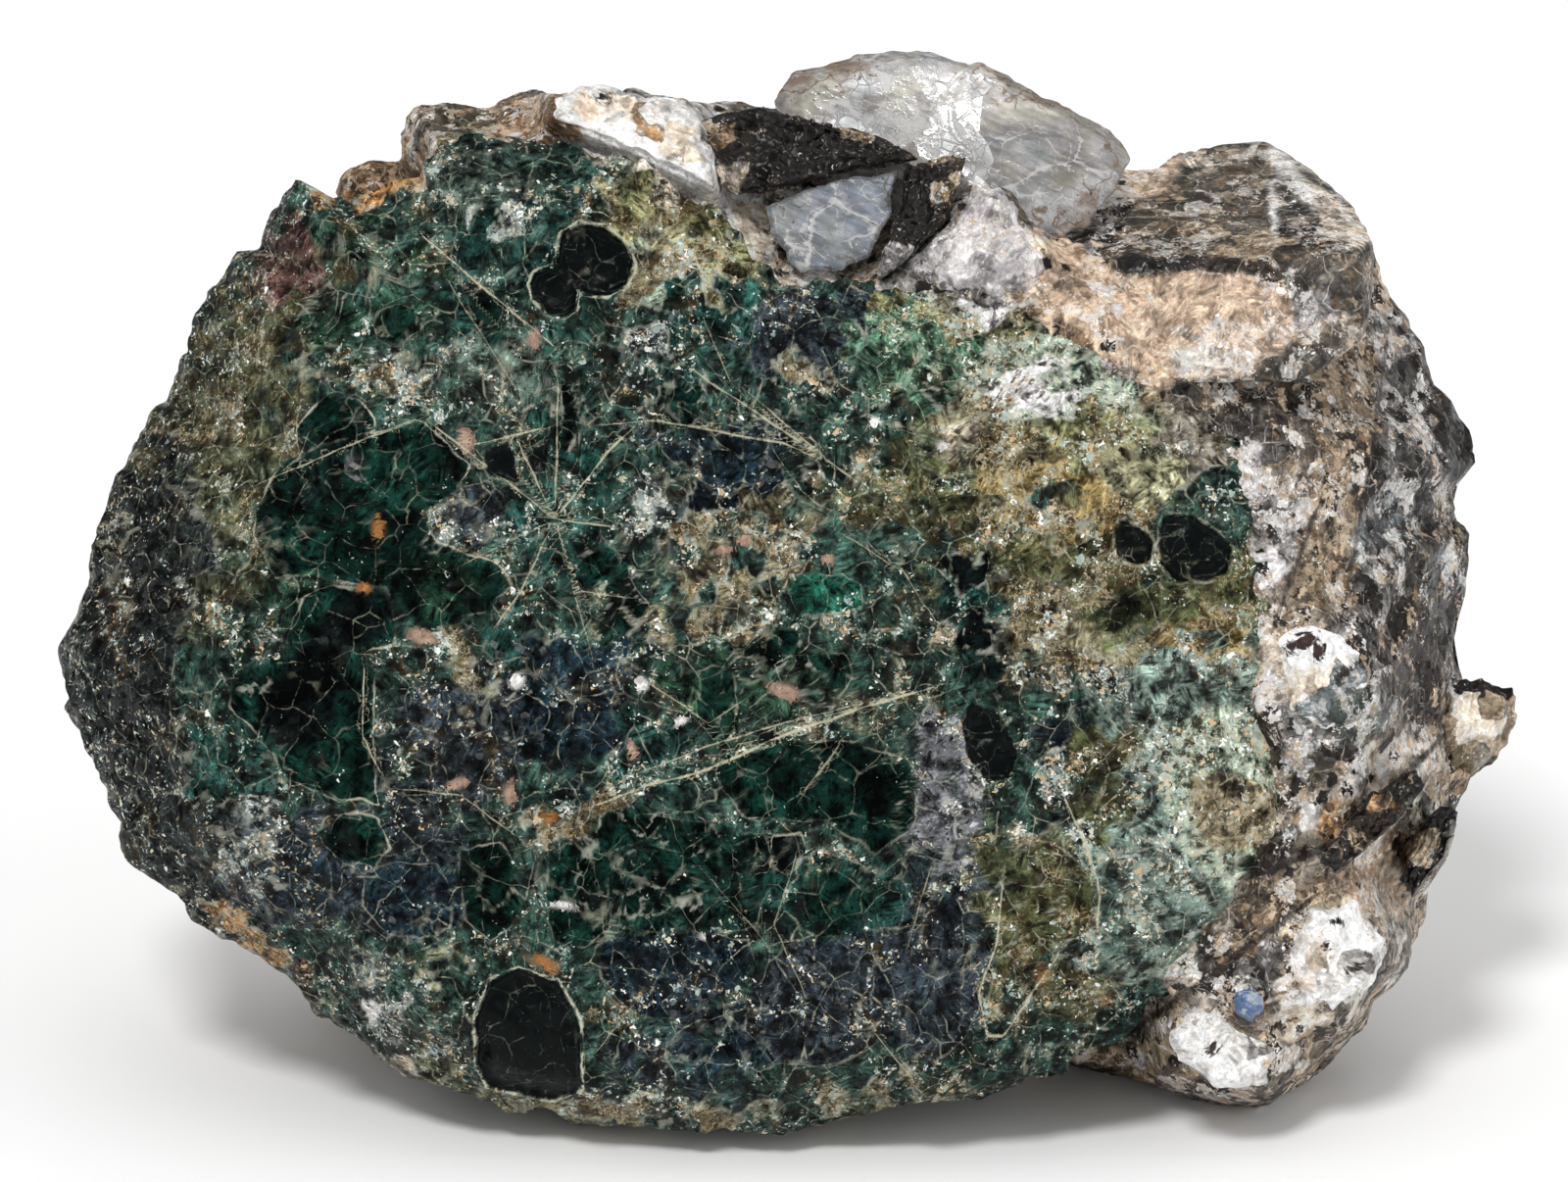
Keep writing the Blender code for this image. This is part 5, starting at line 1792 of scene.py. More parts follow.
    def bed_grains(self, points: Array) -> Array:
        """Lowers the rock inside each grain's outline, and raises it round grains that it grips."""
        for grain in self.bedded:
            u, v = points[..., 0], points[..., 1]
            away = from_outline(u, v, grain.outline)
            if grain.grip:
                short = np.maximum(grain.front_depth(u, v) - 0.8 * grain.drop - points[..., 2], 0.0)
                lift = np.minimum(short, 6.0) * (1.0 - smooth_step(0.0, grain.grip, away))
                points = points + np.stack([0.0 * lift, 0.0 * lift, lift], axis=-1)
            inside = 1.0 - smooth_step(-0.7, 0.1, away)
            over = np.maximum(points[..., 2] - (grain.front_depth(u, v) - grain.sunk), 0.0)
            points = points - np.stack([0.0 * over, 0.0 * over, inside * over], axis=-1)
        return points

    def dress(self, piece: Piece, points: Array) -> None:
        """Stores the painted values on the piece.

        Args:
            piece: The piece.
            points: Its points in the face frame.
        """
        values = self.painting.survey(points)
        depth = points[:, 2] + 2.5 * Noise.fractal(points, 5.0, 3, 81)
        rearward = smooth_step(-23.0, -26.0, depth)
        for name, value in self.rear_painting.survey(points).items():
            share = rearward.reshape(-1, *(1,) * (value.ndim - 1))
            values[name] = values[name] + (value - values[name]) * share
        values.update(trace_veins(points, self.veins))
        values["vein_on"] = values["vein_on"] * (1.0 - rearward)
        paint(piece, values)


FACE_PAINTING = Painting(Kind.SLATE, patches(
    (Kind.UMBER, -36.4, 7.5, 4.6, 13, 0.9, 0.4, -14), (Kind.RIM, -41.6, -2, 4.2, 13, 1, 0.4, -8),
    (Kind.RIM, -39, -15, 4.6, 8, 0.9, 0.4, 32), (Kind.GREEN, -26.5, 18.5, 6.5, 5, 0.4, 0.3, 20),
    (Kind.UMBER, -28.6, 21.6, 3.4, 3, 0.5, 0.3, 20), (Kind.SAGE, -20.4, 27, 4.6, 2.4, 0.7, 0.4, -6),
    (Kind.SLATE, -13.4, 26.4, 4, 2.6, 0.9, 0.4, -20), (Kind.TEAL, -15.5, 20.4, 6.6, 5.4, 0.5, 0.5),
    (Kind.OLIVE, -6.9, 23.2, 4.8, 3.4, 1, 0.4, -38), (Kind.TAN, -9.2, 26.6, 4.6, 1.1, 0.9, 0.5, -34),
    (Kind.CREAM, -8, 26.4, 1.2, 0.7, 0.8, 0.5, -34), (Kind.GOLD, -5.8, 23.8, 2, 0.8, 0.8, 0.5, -40),
    (Kind.JADE, -8.6, 20.6, 1.6, 2.4, 0.7, 0.5), (Kind.OLIVE, -3.6, 20.6, 3, 2.6, 0.8, 0.4, -40),
    (Kind.TEAL, -5.2, 16.8, 4.5, 4.2, 0.55), (Kind.MAUVE, 1.5, 16.4, 4.4, 3.4, 0.8),
    (Kind.TAN, 1, 14, 1.6, 1.2, 0.6, 0.5, 20), (Kind.LEAF, 8.3, 15.3, 4.4, 3.8, 0.95),
    (Kind.GREEN, 10.5, 12, 2.6, 2.2, 0.7, 0.5), (Kind.OLIVE, 15, 17, 6.5, 1.9, 0.9, 0.5, -18),
    (Kind.HAZE, 12, 18.6, 5, 1.1, 0.8, 0.5, -14), (Kind.OLIVE, 10, 17.4, 4, 1.2, 0.8, 0.5, -10),
    (Kind.JADE, 17.8, 12.6, 5.6, 4.2, 1, 0.4, -14), (Kind.HAZE, 16.2, 11.4, 2.4, 2.6, 0.7, 0.5),
    (Kind.TEAL, 17.6, 14.8, 2.6, 1.2, 0.6, 0.5, -20), (Kind.JADE, 22, 12, 2.6, 3, 0.9, 0.4, -40),
    (Kind.OLIVE, 21, 8.6, 5.4, 3, 0.9, 0.4, -10), (Kind.SMOKE, 24.4, 13.4, 2.6, 2.2, 0.9, 0.4, -40),
    (Kind.ASH, 26.4, 9.8, 2.4, 2.6, 0.9, 0.4, -20), (Kind.TAN, 13, 9.6, 4.4, 2.6, 0.9, 0.5, -20),
    (Kind.CREAM, 11.8, 10, 1.6, 1.2, 0.7, 0.5, -30), (Kind.GOLD, 17, 5.2, 7.4, 3.2, 0.6, 0.5, -5),
    (Kind.MOSS, 15.6, 0.8, 6.6, 2.6, 0.8, 0.5), (Kind.MOSS, 9, 6.6, 5, 3.6, 0.75, 0.5, 10),
    (Kind.TAN, -4.8, 2.2, 7, 5, 0.55, 0.6, 15), (Kind.TAN, 1.5, 4.5, 5, 3.6, 0.3, 0.6),
    (Kind.MOSS, 27.8, -1, 3, 4, 0.8, 0.5), (Kind.MOSS, 22, 0.4, 4.4, 3.4, 0.7, 0.5),
    (Kind.TAN, 18.4, -3, 9, 2.8, 0.8, 0.5), (Kind.GOLD, 26.5, -3.6, 3.6, 1.6, 0.7, 0.5, -10),
    (Kind.FROST, 17.5, -5.6, 4.4, 1.2, 0.5, 0.5, -10), (Kind.DUSK, 27, -11, 7.4, 7.4, 1, 0.3),
    (Kind.DUSK, 22.6, -19.4, 5.4, 6.4, 1, 0.3), (Kind.MOSS, 20, -12, 3, 4.4, 0.7),
    (Kind.FROST, 17.6, -12.4, 1.2, 4, 0.6, 0.5, 18), (Kind.TAN, 16.4, -17, 1.6, 2.6, 0.8, 0.5, 15),
    (Kind.JADE, 26.6, -18.8, 3, 2.4, 0.9), (Kind.HAZE, 25.6, -19.8, 1.4, 1.2, 0.8),
    (Kind.RUST, 17.8, -25.4, 3.8, 2.6, 0.2, 0.5), (Kind.LILAC, 10.4, -13.4, 2.6, 5.4, 0.85, 0.4, 6),
    (Kind.MAUVE, 10.5, -20, 3.4, 3, 0.9), (Kind.MOSS, 13.5, -18, 2, 3.4, 0.7),
    (Kind.MAUVE, -9, -29.8, 4.4, 2, 0.7, 0.5), (Kind.NAVY, -3.5, -29.4, 3.6, 2.6, 0.7, 0.5),
    (Kind.GREEN, -2, -6.4, 6.4, 3.4, 0.7, 0.4, 10), (Kind.TAN, 2, -6.5, 3, 1.4, 0.5, 0.5, -20),
    (Kind.LOBE, -0.4, -3.4, 2.6, 1.6, 0.7), (Kind.LOBE, -8.4, -17.5, 3.9, 3.2, 0.7, 0.3),
    (Kind.MAUVE, -31, -18.4, 5.4, 4, 0.8, 0.4, -30), (Kind.MAUVE, -24.4, -17, 4.4, 4.4, 0.8, 0.4, 10),
    (Kind.FROST, -34, -16, 2.2, 2.8, 0.45, 0.5), (Kind.MAUVE, -20.6, -9.8, 5, 5.2, 0.8),
    (Kind.NAVY, -13.8, -7.4, 4.4, 4.6, 0.95, 0.35), (Kind.TAN, -19.4, -6, 1.1, 4, 0.4, 0.5, 18),
    (Kind.TAN, -12.6, -14.4, 4.4, 1.2, 0.75, 0.5, 14), (Kind.SLATE, -23, 5, 14, 8, 0.4),
    (Kind.GREEN, -30, -0.4, 3.2, 2.2, 0.7), (Kind.BRIGHT_LOBE, -34.2, -6.2, 1.5, 1.2, 0.9, 0.3),
    (Kind.TEAL, -36, -11.5, 2.6, 3, 0.6), (Kind.TEAL, -17.4, -3, 1.8, 2.4, 0.8, 0.3),
    (Kind.TEAL, -13.6, 4.4, 2.6, 5.6, 0.75, 0.4, -6), (Kind.LOBE, -11, -0.6, 2, 2.6, 0.7),
    (Kind.LOBE, -14.4, 10.4, 1.2, 2.2, 0.7), (Kind.FROST, -9, 15.4, 1.2, 2.2, 0.85, 0.4, -20),
    (Kind.FROST, -18.4, 24, 1.2, 2.4, 0.35, 0.5, -30),
    (Kind.FROST, -22.4, 13.8, 2.6, 2.2, 0.35, 0.5, -35), (Kind.NAVY, -3.8, 9.2, 4.6, 1.9, 0.9),
    (Kind.NAVY, -4.2, 6.4, 4, 1.8, 0.7, 0.5), (Kind.LOBE, -6.8, 11.6, 2.4, 1.6, 0.8, 0.4, -30),
    (Kind.TAN, -26.2, 12.8, 2.8, 1.2, 0.5, 0.5, 20), (Kind.TAN, -12.4, -33.4, 12, 1.1, 0.8, 0.6),
    (Kind.TAN, 6, -32.6, 8, 1.1, 0.7, 0.6, 4), (Kind.OLIVE, -21.4, -24.4, 2.6, 3, 0.35, 0.5),
    (Kind.NAVY, -24, -19.6, 3, 3, 0.8), (Kind.TEAL, 2.5, -19.8, 6.4, 2.6, 0.8),
    (Kind.TEAL, -8.6, -10.2, 2.8, 2.4, 0.7), (Kind.SAGE, -18.6, 14.2, 3.2, 2.6, 0.7, 0.5),
    (Kind.CREAM, -5, 24.9, 2.6, 0.7, 0.8, 0.5, -38), (Kind.FROST, -23.8, -29, 3.8, 1.8, 0.5, 0.5, -35),
    (Kind.RUST, -34, -22.2, 3.2, 1.2, 0.8, 0.5, -42), (Kind.BARK, -31.4, -26.2, 3, 1.2, 0.9, 0.5, -38),
    (Kind.HAZE, -25.4, -27.6, 1.7, 1.3, 0.55, 0.5, -30),
    (Kind.FROST, -26.4, -24.2, 2.2, 1.6, 0.4, 0.5, -30),
    (Kind.UMBER, -21.8, -31.8, 4.6, 1.2, 0.9, 0.5, -24),
    (Kind.CREAM, -24, -30.6, 1.6, 0.6, 0.5, 0.5, -26), (Kind.MAROON, -31.6, 21, 2, 3.4, 0.9, 0.4, -14),
    (Kind.RUST, -26, 25.4, 3.6, 0.9, 0.9, 0.4, 16), (Kind.TAN, -8.4, 21.4, 1.8, 3.6, 0.8, 0.4, -30),
    (Kind.FROST, -20.9, 4.5, 1.3, 1.7, 1, 0.3), (Kind.FROST, -9, 6.2, 1.3, 1.8, 1, 0.3),
    (Kind.TEAL, 12, -1, 2.4, 3, 0.8), (Kind.NAVY, 18, -9.2, 2, 1.2, 0.8),
    (Kind.MOSS, 22.4, -1.4, 4.4, 1.4, 0.9), (Kind.INK, 11.6, 1.4, 1.6, 1, 0.9),
    (Kind.INK, 12.2, -3, 1.6, 1.2, 0.9),
), (
    Shape(Kind.LOBE, ((-30.9, 8.5), (-31.2, 10.1), (-29.2, 12.3), (-27.3, 12), (-26.1, 10.9),
        (-26.1, 10.1)), 0.9),
    Shape(Kind.LOBE, ((-31.9, 8.2), (-26.1, 10.1), (-23.5, 10.6), (-21.9, 9.6), (-20.2, 7.7), (-21.2, 5.8),
        (-22.9, 5.1), (-22.1, 2.8), (-18.1, 1.5), (-17.3, 0.2), (-18.9, -1.4), (-22.4, -2.7),
        (-23.8, -2.4), (-25.4, -0.1), (-28.8, 0.5), (-32.4, 1), (-33.9, 3.2), (-33.7, 5.4)), 0.8),
    Shape(Kind.INK, ((-31.2, 8.1), (-28.4, 9.1), (-28.1, 6.2), (-29.4, 4.4), (-31.2, 5)), 0, 0.7),
    Shape(Kind.INK, ((-25.3, 5), (-23.1, 5), (-22.5, 1.9), (-23.4, -1.6), (-24.7, 0.6)), 0, 0.6),
    Shape(Kind.GREEN, ((-23.8, 2.5), (-20.6, 1.6), (-18.8, 0), (-20.6, -1.9), (-23.1, -2)), 0, 0.5),
    Shape(Kind.LOBE, ((-30.8, -0.6), (-28.8, 0.2), (-25.4, -0.4), (-24.5, -2), (-24.8, -3.4), (-26.8, -4),
        (-26.1, -5.6), (-26.2, -10.5), (-25.9, -13.8), (-28.4, -13.4), (-31.2, -12.2), (-33.4, -9.8),
        (-35.3, -7.5), (-35.2, -5.6), (-31.8, -4.2)), 0.8),
    Shape(Kind.INK, ((-30.1, -2.5), (-28.4, -0.4), (-26.8, 0), (-25.1, -1.4), (-25, -2.8), (-27.4, -3.9),
        (-28.4, -5.6), (-28.6, -8.4), (-30.6, -10.5), (-33.5, -9.1), (-33.2, -6.2), (-31.6, -5)), 0),
    Shape(Kind.LOBE, ((-29.2, -15.8), (-28.1, -14.3), (-25.8, -14.6), (-25.1, -16.5), (-26.1, -17.8),
        (-28.6, -17.3)), 0.8),
    Shape(Kind.LOBE, ((-20.6, -16.4), (-18.4, -16.4), (-17.2, -17.5), (-16.7, -19.7), (-17.5, -21.6),
        (-18.8, -22.6), (-20.1, -21.2), (-20.8, -18.8)), 0.5),
    Shape(Kind.LOBE, ((-14.9, -16.9), (-13.4, -16.1), (-12.2, -17.5), (-11.8, -20), (-11.4, -22.2),
        (-12.8, -23.2), (-14.7, -22.5), (-15.2, -19.7)), 0.4),
    Shape(Kind.NAVY, ((-11.8, -22.6), (-8.8, -22), (-5, -21.9), (-2.2, -22.4), (-1.8, -24.1),
        (-3.4, -25.6), (-6.2, -27.5), (-9.1, -27.6), (-10.6, -26.2), (-11.6, -24.7)), 0.4),
    Shape(Kind.MAUVE, ((-1.9, -25), (0, -22.8), (3.1, -22.2), (10, -21.4), (12.5, -21.6), (13.4, -23.4),
        (12.5, -25.6), (12.8, -27.8), (9.4, -30.3), (6.2, -28.8), (3.1, -30.6), (-0.6, -30.3),
        (-2.5, -28.1)), 0.3),
    Shape(Kind.LOBE, ((1.1, -18.1), (3.1, -16.8), (5.3, -17.8), (5.9, -19.7), (4.4, -21.6), (2.4, -23),
        (1.2, -20.6)), 0.5),
    Shape(Kind.INK, ((-0.8, -15.9), (0.9, -15.5), (1.6, -16.9), (0.3, -18.2), (-0.9, -17.8)), 0.7),
    Shape(Kind.LOBE, ((-12.5, -14.7), (-10, -13.8), (-6.9, -14.7), (-4.4, -15), (-1.2, -15.9),
        (-0.6, -18.8), (-1.9, -21.6), (-5, -21.9), (-9.4, -21.9), (-11.6, -21.2),
        (-12.4, -18.1)), 0.2, 0.8),
    Shape(Kind.LOBE, ((-4.1, -10.6), (-0.6, -9.9), (2.5, -9.7), (5, -10), (7.8, -10.9), (8.6, -12.5),
        (8.1, -15.6), (5.9, -16.9), (3.1, -15), (-2.5, -14.5), (-4.1, -12.5)), 0.4),
    Shape(Kind.LOBE, ((-5.5, -5.6), (-4.7, -5), (-3.1, -5), (-3, -6.2), (-3.1, -9.1), (-4.7, -9.7),
        (-5.6, -8.1)), 0.4, 0.9),
    Shape(Kind.LOBE, ((-0.6, -5), (0.6, -4.2), (3.8, -4.2), (4.4, -5.6), (2.8, -7.5), (1.4, -7.6),
        (0, -6.2)), 0.7, 0.9),
    Shape(Kind.BRIGHT_LOBE, ((0.2, 0), (1.2, 0.8), (3.4, 0.9), (5, 0.1), (4.9, -1.1), (3.1, -1.6),
        (0.9, -1.4)), 0.5),
    Shape(Kind.DUSK, ((20, -19.6), (20.8, -17), (25.2, -16.2), (26.4, -17.6), (29.2, -20.2), (29.8, -22.4),
        (28, -24.4), (26.4, -25.4), (22.4, -24.8), (19.8, -23)), 0.3),
    Shape(Kind.TEAL, ((20.1, -19.7), (21.2, -18.1), (21.9, -20.6), (21.2, -23.4), (19.9, -22.8)), 0, 0.7),
    Shape(Kind.JADE, ((24.4, -10.5), (26.2, -7.9), (28.2, -7.4), (30.6, -8.6), (32, -10.8), (33.2, -12.8),
        (32.4, -14.7), (31.2, -16.6), (28.9, -17.5), (26.6, -16.9), (25, -15.6), (23.8, -12.5)), 0.2),
    Shape(Kind.SMOKE, ((25.9, -11.9), (29.2, -11.9), (31.9, -13.3), (31.4, -15.8), (29.2, -16.8),
        (26.9, -16.5), (25.9, -14.6)), 0),
    Shape(Kind.MOSS, ((14.1, -17.6), (16.8, -16.2), (18.8, -17.4), (20, -19), (19.8, -21.6), (17.2, -23),
        (16, -23.6), (14.4, -24.6), (13.4, -27.8), (12.6, -27.8), (13.4, -25)), 0.3),
    Shape(Kind.UMBER, ((17.2, -23.4), (19.2, -24.4), (20.6, -25.8), (19.6, -27.8), (17.8, -27.4),
        (16, -26.9)), 0.2),
    Shape(Kind.WAX, ((19.9, 7.9), (21.4, 9), (23.1, 9.3), (24.6, 8.4), (25.9, 7.7), (25.1, 6.4),
        (24.2, 5.6), (22.2, 5.2), (20.9, 6.3)), 0.3),
    Shape(Kind.NAVY, ((-33.6, -17.5), (-31.2, -16.4), (-29.1, -17.5), (-28.8, -19.7), (-30.3, -20.9),
        (-32.5, -20.3), (-33.6, -19.1)), 0.4),
    Shape(Kind.NAVY, ((-26.8, -18.1), (-25, -17.5), (-22.2, -17.5), (-21.2, -19.1), (-21.1, -21.6),
        (-23.1, -22.5), (-25.3, -21.9), (-26.8, -20.3)), 0.4),
    Shape(Kind.LOBE, ((-26.1, 17.6), (-24.4, 18.1), (-22.6, 17.4), (-23.1, 15.9), (-25, 15.5),
        (-26.1, 15.9)), 0.3, 0.9),
    Shape(Kind.LOBE, ((-20.1, 18.8), (-19.1, 19.1), (-18, 18.1), (-17.6, 15.9), (-19.1, 15.3),
        (-19.9, 16.9)), 0.3, 0.9),
    Shape(Kind.MAUVE, ((-21.1, 6.2), (-18.8, 6.9), (-17.8, 5.9), (-18, 4.1), (-19.4, 2.5), (-20.6, 3),
        (-21.8, 4.7)), 0.3, 0.9),
    Shape(Kind.INK, ((19.6, -1.5), (20.9, -0.4), (22.2, -0.1), (23.1, -1.4), (21.6, -2.8)), 0, 0.8),
    Shape(Kind.INK, ((10.9, -4.1), (12.1, -1.5), (14.6, -2.8), (14.4, -5), (12.5, -6.2)), 0, 0.8),
), patches(
    (Kind.SALMON, -20.3, 9.4, 0.5, 0.9, 1, 0.3, 10), (Kind.SALMON, -15.9, 15.9, 0.4, 0.6, 1, 0.3),
    (Kind.SALMON, -9.7, -10.3, 0.4, 0.7, 1, 0.3, 10), (Kind.SALMON, -2.5, 3.1, 0.5, 0.5, 1, 0.3),
    (Kind.SALMON, -3.8, 2.5, 0.6, 0.4, 1, 0.3), (Kind.SALMON, 2.8, 1.9, 0.4, 0.4, 1, 0.3),
    (Kind.SALMON, -17.5, -13.1, 0.4, 0.8, 1, 0.3), (Kind.SALMON, -23.1, -3.1, 1, 0.5, 0.8, 0.3, -20),
    (Kind.SALMON, -20.9, -12.5, 0.8, 0.4, 0.8, 0.3, 20), (Kind.SALMON, 0, -6.6, 1.1, 0.5, 0.8, 0.3, -25),
    (Kind.RUST, -15, -14.7, 0.6, 0.4, 1, 0.3, 10), (Kind.RUST, -26.8, 0, 0.5, 0.4, 1, 0.3),
    (Kind.RUST, -15.3, -23.9, 1.2, 0.4, 1, 0.3, -20), (Kind.RUST, -25.9, 3.8, 0.4, 0.9, 1, 0.3),
    (Kind.WHITE, -9.1, -6.2, 0.4, 0.5, 1, 0.3), (Kind.WHITE, -6.6, -8.4, 0.6, 0.3, 1, 0.3, 30),
    (Kind.WHITE, -17, -5.9, 0.5, 0.5, 1, 0.3), (Kind.WHITE, -5, -22.2, 0.4, 0.2, 1, 0.3),
    (Kind.WHITE, 5.8, 10.6, 0.4, 0.4, 1, 0.3), (Kind.WHITE, 10.1, 9.1, 0.3, 0.3, 1, 0.3),
    (Kind.WHITE, -14.1, -20.3, 0.9, 0.2, 1, 0.3, -10),
))
FACE_VEINS = (
    Vein(((-14.6, 4.4), (-22.6, 10.6)), 0.13, 0.8), Vein(((-14.6, 4.4), (-17, 9.4)), 0.11, 0.9),
    Vein(((-14.6, 4.4), (-14.4, 13.3)), 0.12, 0.75),
    Vein(((-14.6, 4.4), (-11.3, 8.6), (-9.4, 10.4)), 0.13, 0.85),
    Vein(((-14.6, 4.4), (-10.8, 3.9)), 0.09, 0.8),
    Vein(((-14.6, 4.4), (-13, -0.2), (-10.2, -0.6)), 0.09, 0.7),
    Vein(((-14.6, 4.4), (-16.8, -0.2), (-18.4, -2.4)), 0.1, 0.7),
    Vein(((-14.6, 4.4), (-20.6, 1.4)), 0.07, 0.5), Vein(((-14.6, 4.4), (-12.2, -4.6)), 0.07, 0.5),
    Vein(((-20, 9.1), (-15.4, 10.2)), 0.11, 0.85),
    Vein(((-23, 22.4), (-18.6, 18.7), (-14.8, 15.5)), 0.12, 0.85),
    Vein(((-21.4, 19.6), (-16.8, 12.2)), 0.09, 0.5),
    Vein(((-33.6, 6.6), (-27.7, 9.1), (-23.6, 10.6)), 0.08, 0.75),
    Vein(((-11.4, 10.4), (-8, 10.7), (0, 9.2), (3.2, 7.8)), 0.11, 0.7),
    Vein(((-5.8, 13.9), (0, 10), (3.2, 7.8)), 0.13, 0.75),
    Vein(((-2.4, 12.6), (3.2, 7.8), (4.4, 7)), 0.1, 0.7), Vein(((-5.1, 17.1), (-3.4, 13.2)), 0.07, 0.6),
    Vein(((-12.1, -13.9), (-8.6, -12.6), (-5.4, -11.8), (0, -9.4), (5.4, -7.5), (9.6, -6.3)), 0.16, 0.95),
    Vein(((-9.8, -12), (-4, -9.8), (0, -8.6), (6.4, -7)), 0.1, 0.7),
    Vein(((1.4, -12.9), (3.5, -10)), 0.17, 0.55),
    Vein(((-26.8, -5), (-26.9, -9.4), (-25.8, -11.7)), 0.09, 0.8),
    Vein(((17.7, -12.9), (19.4, -16.8), (20.2, -19.3), (19.9, -22.5)), 0.2, 0.9),
    Vein(((13.9, -19), (13.6, -22.5), (12.4, -25.7), (12.9, -28.6), (14, -28.6), (15.9, -25.7),
        (17.5, -23.4)), 0.14, 0.9),
    Vein(((11.2, -10.9), (15.6, -9.7)), 0.12, 0.9),
    Vein(((-9.6, -5.4), (-4.8, -8.6), (-2.6, -7.2)), 0.08, 0.6),
    Vein(((3.8, 3.4), (7.6, 1), (9.8, -2.2)), 0.07, 0.6), Vein(((-4.6, -18.6), (-1, -22.8)), 0.07, 0.5),
    Vein(((0.8, -17), (-0.6, -21.4), (1.4, -26.2)), 0.07, 0.5),
    Vein(((9.4, -17.8), (7.8, -23)), 0.07, 0.55), Vein(((5.8, -28.4), (8.4, -31.6)), 0.08, 0.55),
    Vein(((-24.6, -12.8), (-20.6, -13.2), (-16.8, -16)), 0.08, 0.55),
    Vein(((-12, -29.6), (-9.6, -26.6)), 0.07, 0.5),
)
FACE_PANES = (
    Pane(((-14.2, 22.6), (-13.1, 23.3), (-11.5, 23.1), (-10, 21.9), (-9.5, 20.6), (-10, 19.3),
        (-11.3, 18.6), (-12.6, 18.7), (-13.9, 19.5), (-14.6, 20.7)), 0.8, 0.7),
    Pane(((-16, 20.1), (-15, 20.5), (-13.8, 20), (-13.1, 18.9), (-13.2, 17.8), (-14.1, 17.2), (-15, 17.4),
        (-16, 18.4), (-16.3, 19.4)), 0.8, 0.6),
    Pane(((-16.9, -24.2), (-14.4, -25.1), (-13, -27.6), (-12.9, -32), (-14.9, -32.7), (-18.9, -31.8),
        (-19.6, -30.4), (-19.7, -27.3), (-18.7, -25)), 1, 0.8),
    Pane(((21.1, 3.6), (21.4, 4.5), (23.1, 3.6), (23.6, 2.9), (23.4, 1.5), (22.1, 1.5),
        (21.1, 2.1)), 0.3, 0.4),
    Pane(((23.9, 3.6), (24.2, 4.7), (26, 4.7), (27.3, 3.9), (28.6, 2.6), (28.4, 0.9), (27, 0.4),
        (25.1, 0.4), (23.9, 1.5)), 0.3, 0.5),
    Pane(((11.8, -7.2), (14, -8.2), (15, -10.7), (14.4, -12.3), (12.8, -12.3), (11.6, -10.7),
        (11.3, -8.8)), 0, 0.5),
    Pane(((-19.2, 8.6), (-17.5, 9.4), (-16.7, 6.6), (-18.9, 7.2)), 0.2, 0.2),
    Pane(((-16.4, 8.8), (-14.9, 9.4), (-15.1, 7.5), (-16.2, 7.4)), 0.2, 0.2),
)
CORNER_SHAPES = (
    Shape(Kind.PEACH, ((17.5, 21.9), (21.6, 20.2), (28, 20.2), (32.4, 19), (32.6, 16), (29.8, 13.7),
        (25.1, 13.2), (24.2, 12.4), (21.9, 14.2), (18.8, 16.2), (15, 19.4), (15.6, 21.4)), 0),
    Shape(Kind.WHITE, ((24.5, 15.2), (28.1, 15.6), (30.5, 15), (29.4, 13.9), (25.3, 13.5)), 0, 0.6),
    Shape(Kind.ASH, ((25.1, 13.1), (29.8, 13.6), (32.1, 12.8), (33.8, 11.8), (31.9, 10.2), (28.4, 10.5),
        (25.2, 10.8)), 0.2),
    Shape(Kind.HAZE, ((32.4, 19), (34.7, 19.4), (35.1, 16.9), (33.8, 15.9), (32.5, 16.4)), 0, 0.7),
    Shape(Kind.BLACK, ((21.4, 21.1), (22.2, 21.3), (24.3, 21.2), (24.6, 20.7), (23.6, 20.1), (22.6, 20),
        (21.6, 20.3)), 0),
    Shape(Kind.BARK, ((24.5, 21.1), (28.4, 21.1), (31.2, 20.9), (31.4, 20.2), (28.4, 20.2),
        (24.5, 20.2)), 0, 0.9),
    Shape(Kind.PEACH, ((20.8, 25.1), (22.2, 27.1), (23.6, 27.6), (24.5, 28.6), (26.8, 28.4), (26.8, 27.6),
        (25.2, 27), (24.2, 25.1), (22.8, 24.8)), 0.3),
    Shape(Kind.WHITE, ((31, 28), (31.8, 28), (32.9, 26.5), (34.4, 24.2), (34, 23.9), (32.1, 25.7),
        (31.4, 25.9)), 0.3),
    Shape(Kind.WHITE, ((30.9, 25.8), (31.4, 25.8), (31.5, 22.3), (31.1, 22.3)), 0),
    Shape(Kind.CREAM, ((32.9, 26.3), (35.1, 25.1), (37.1, 23.3), (37.8, 22.3), (36.8, 21.6), (35.1, 22.1),
        (33.8, 22.4), (34.3, 24.1)), 0, 0.9),
)
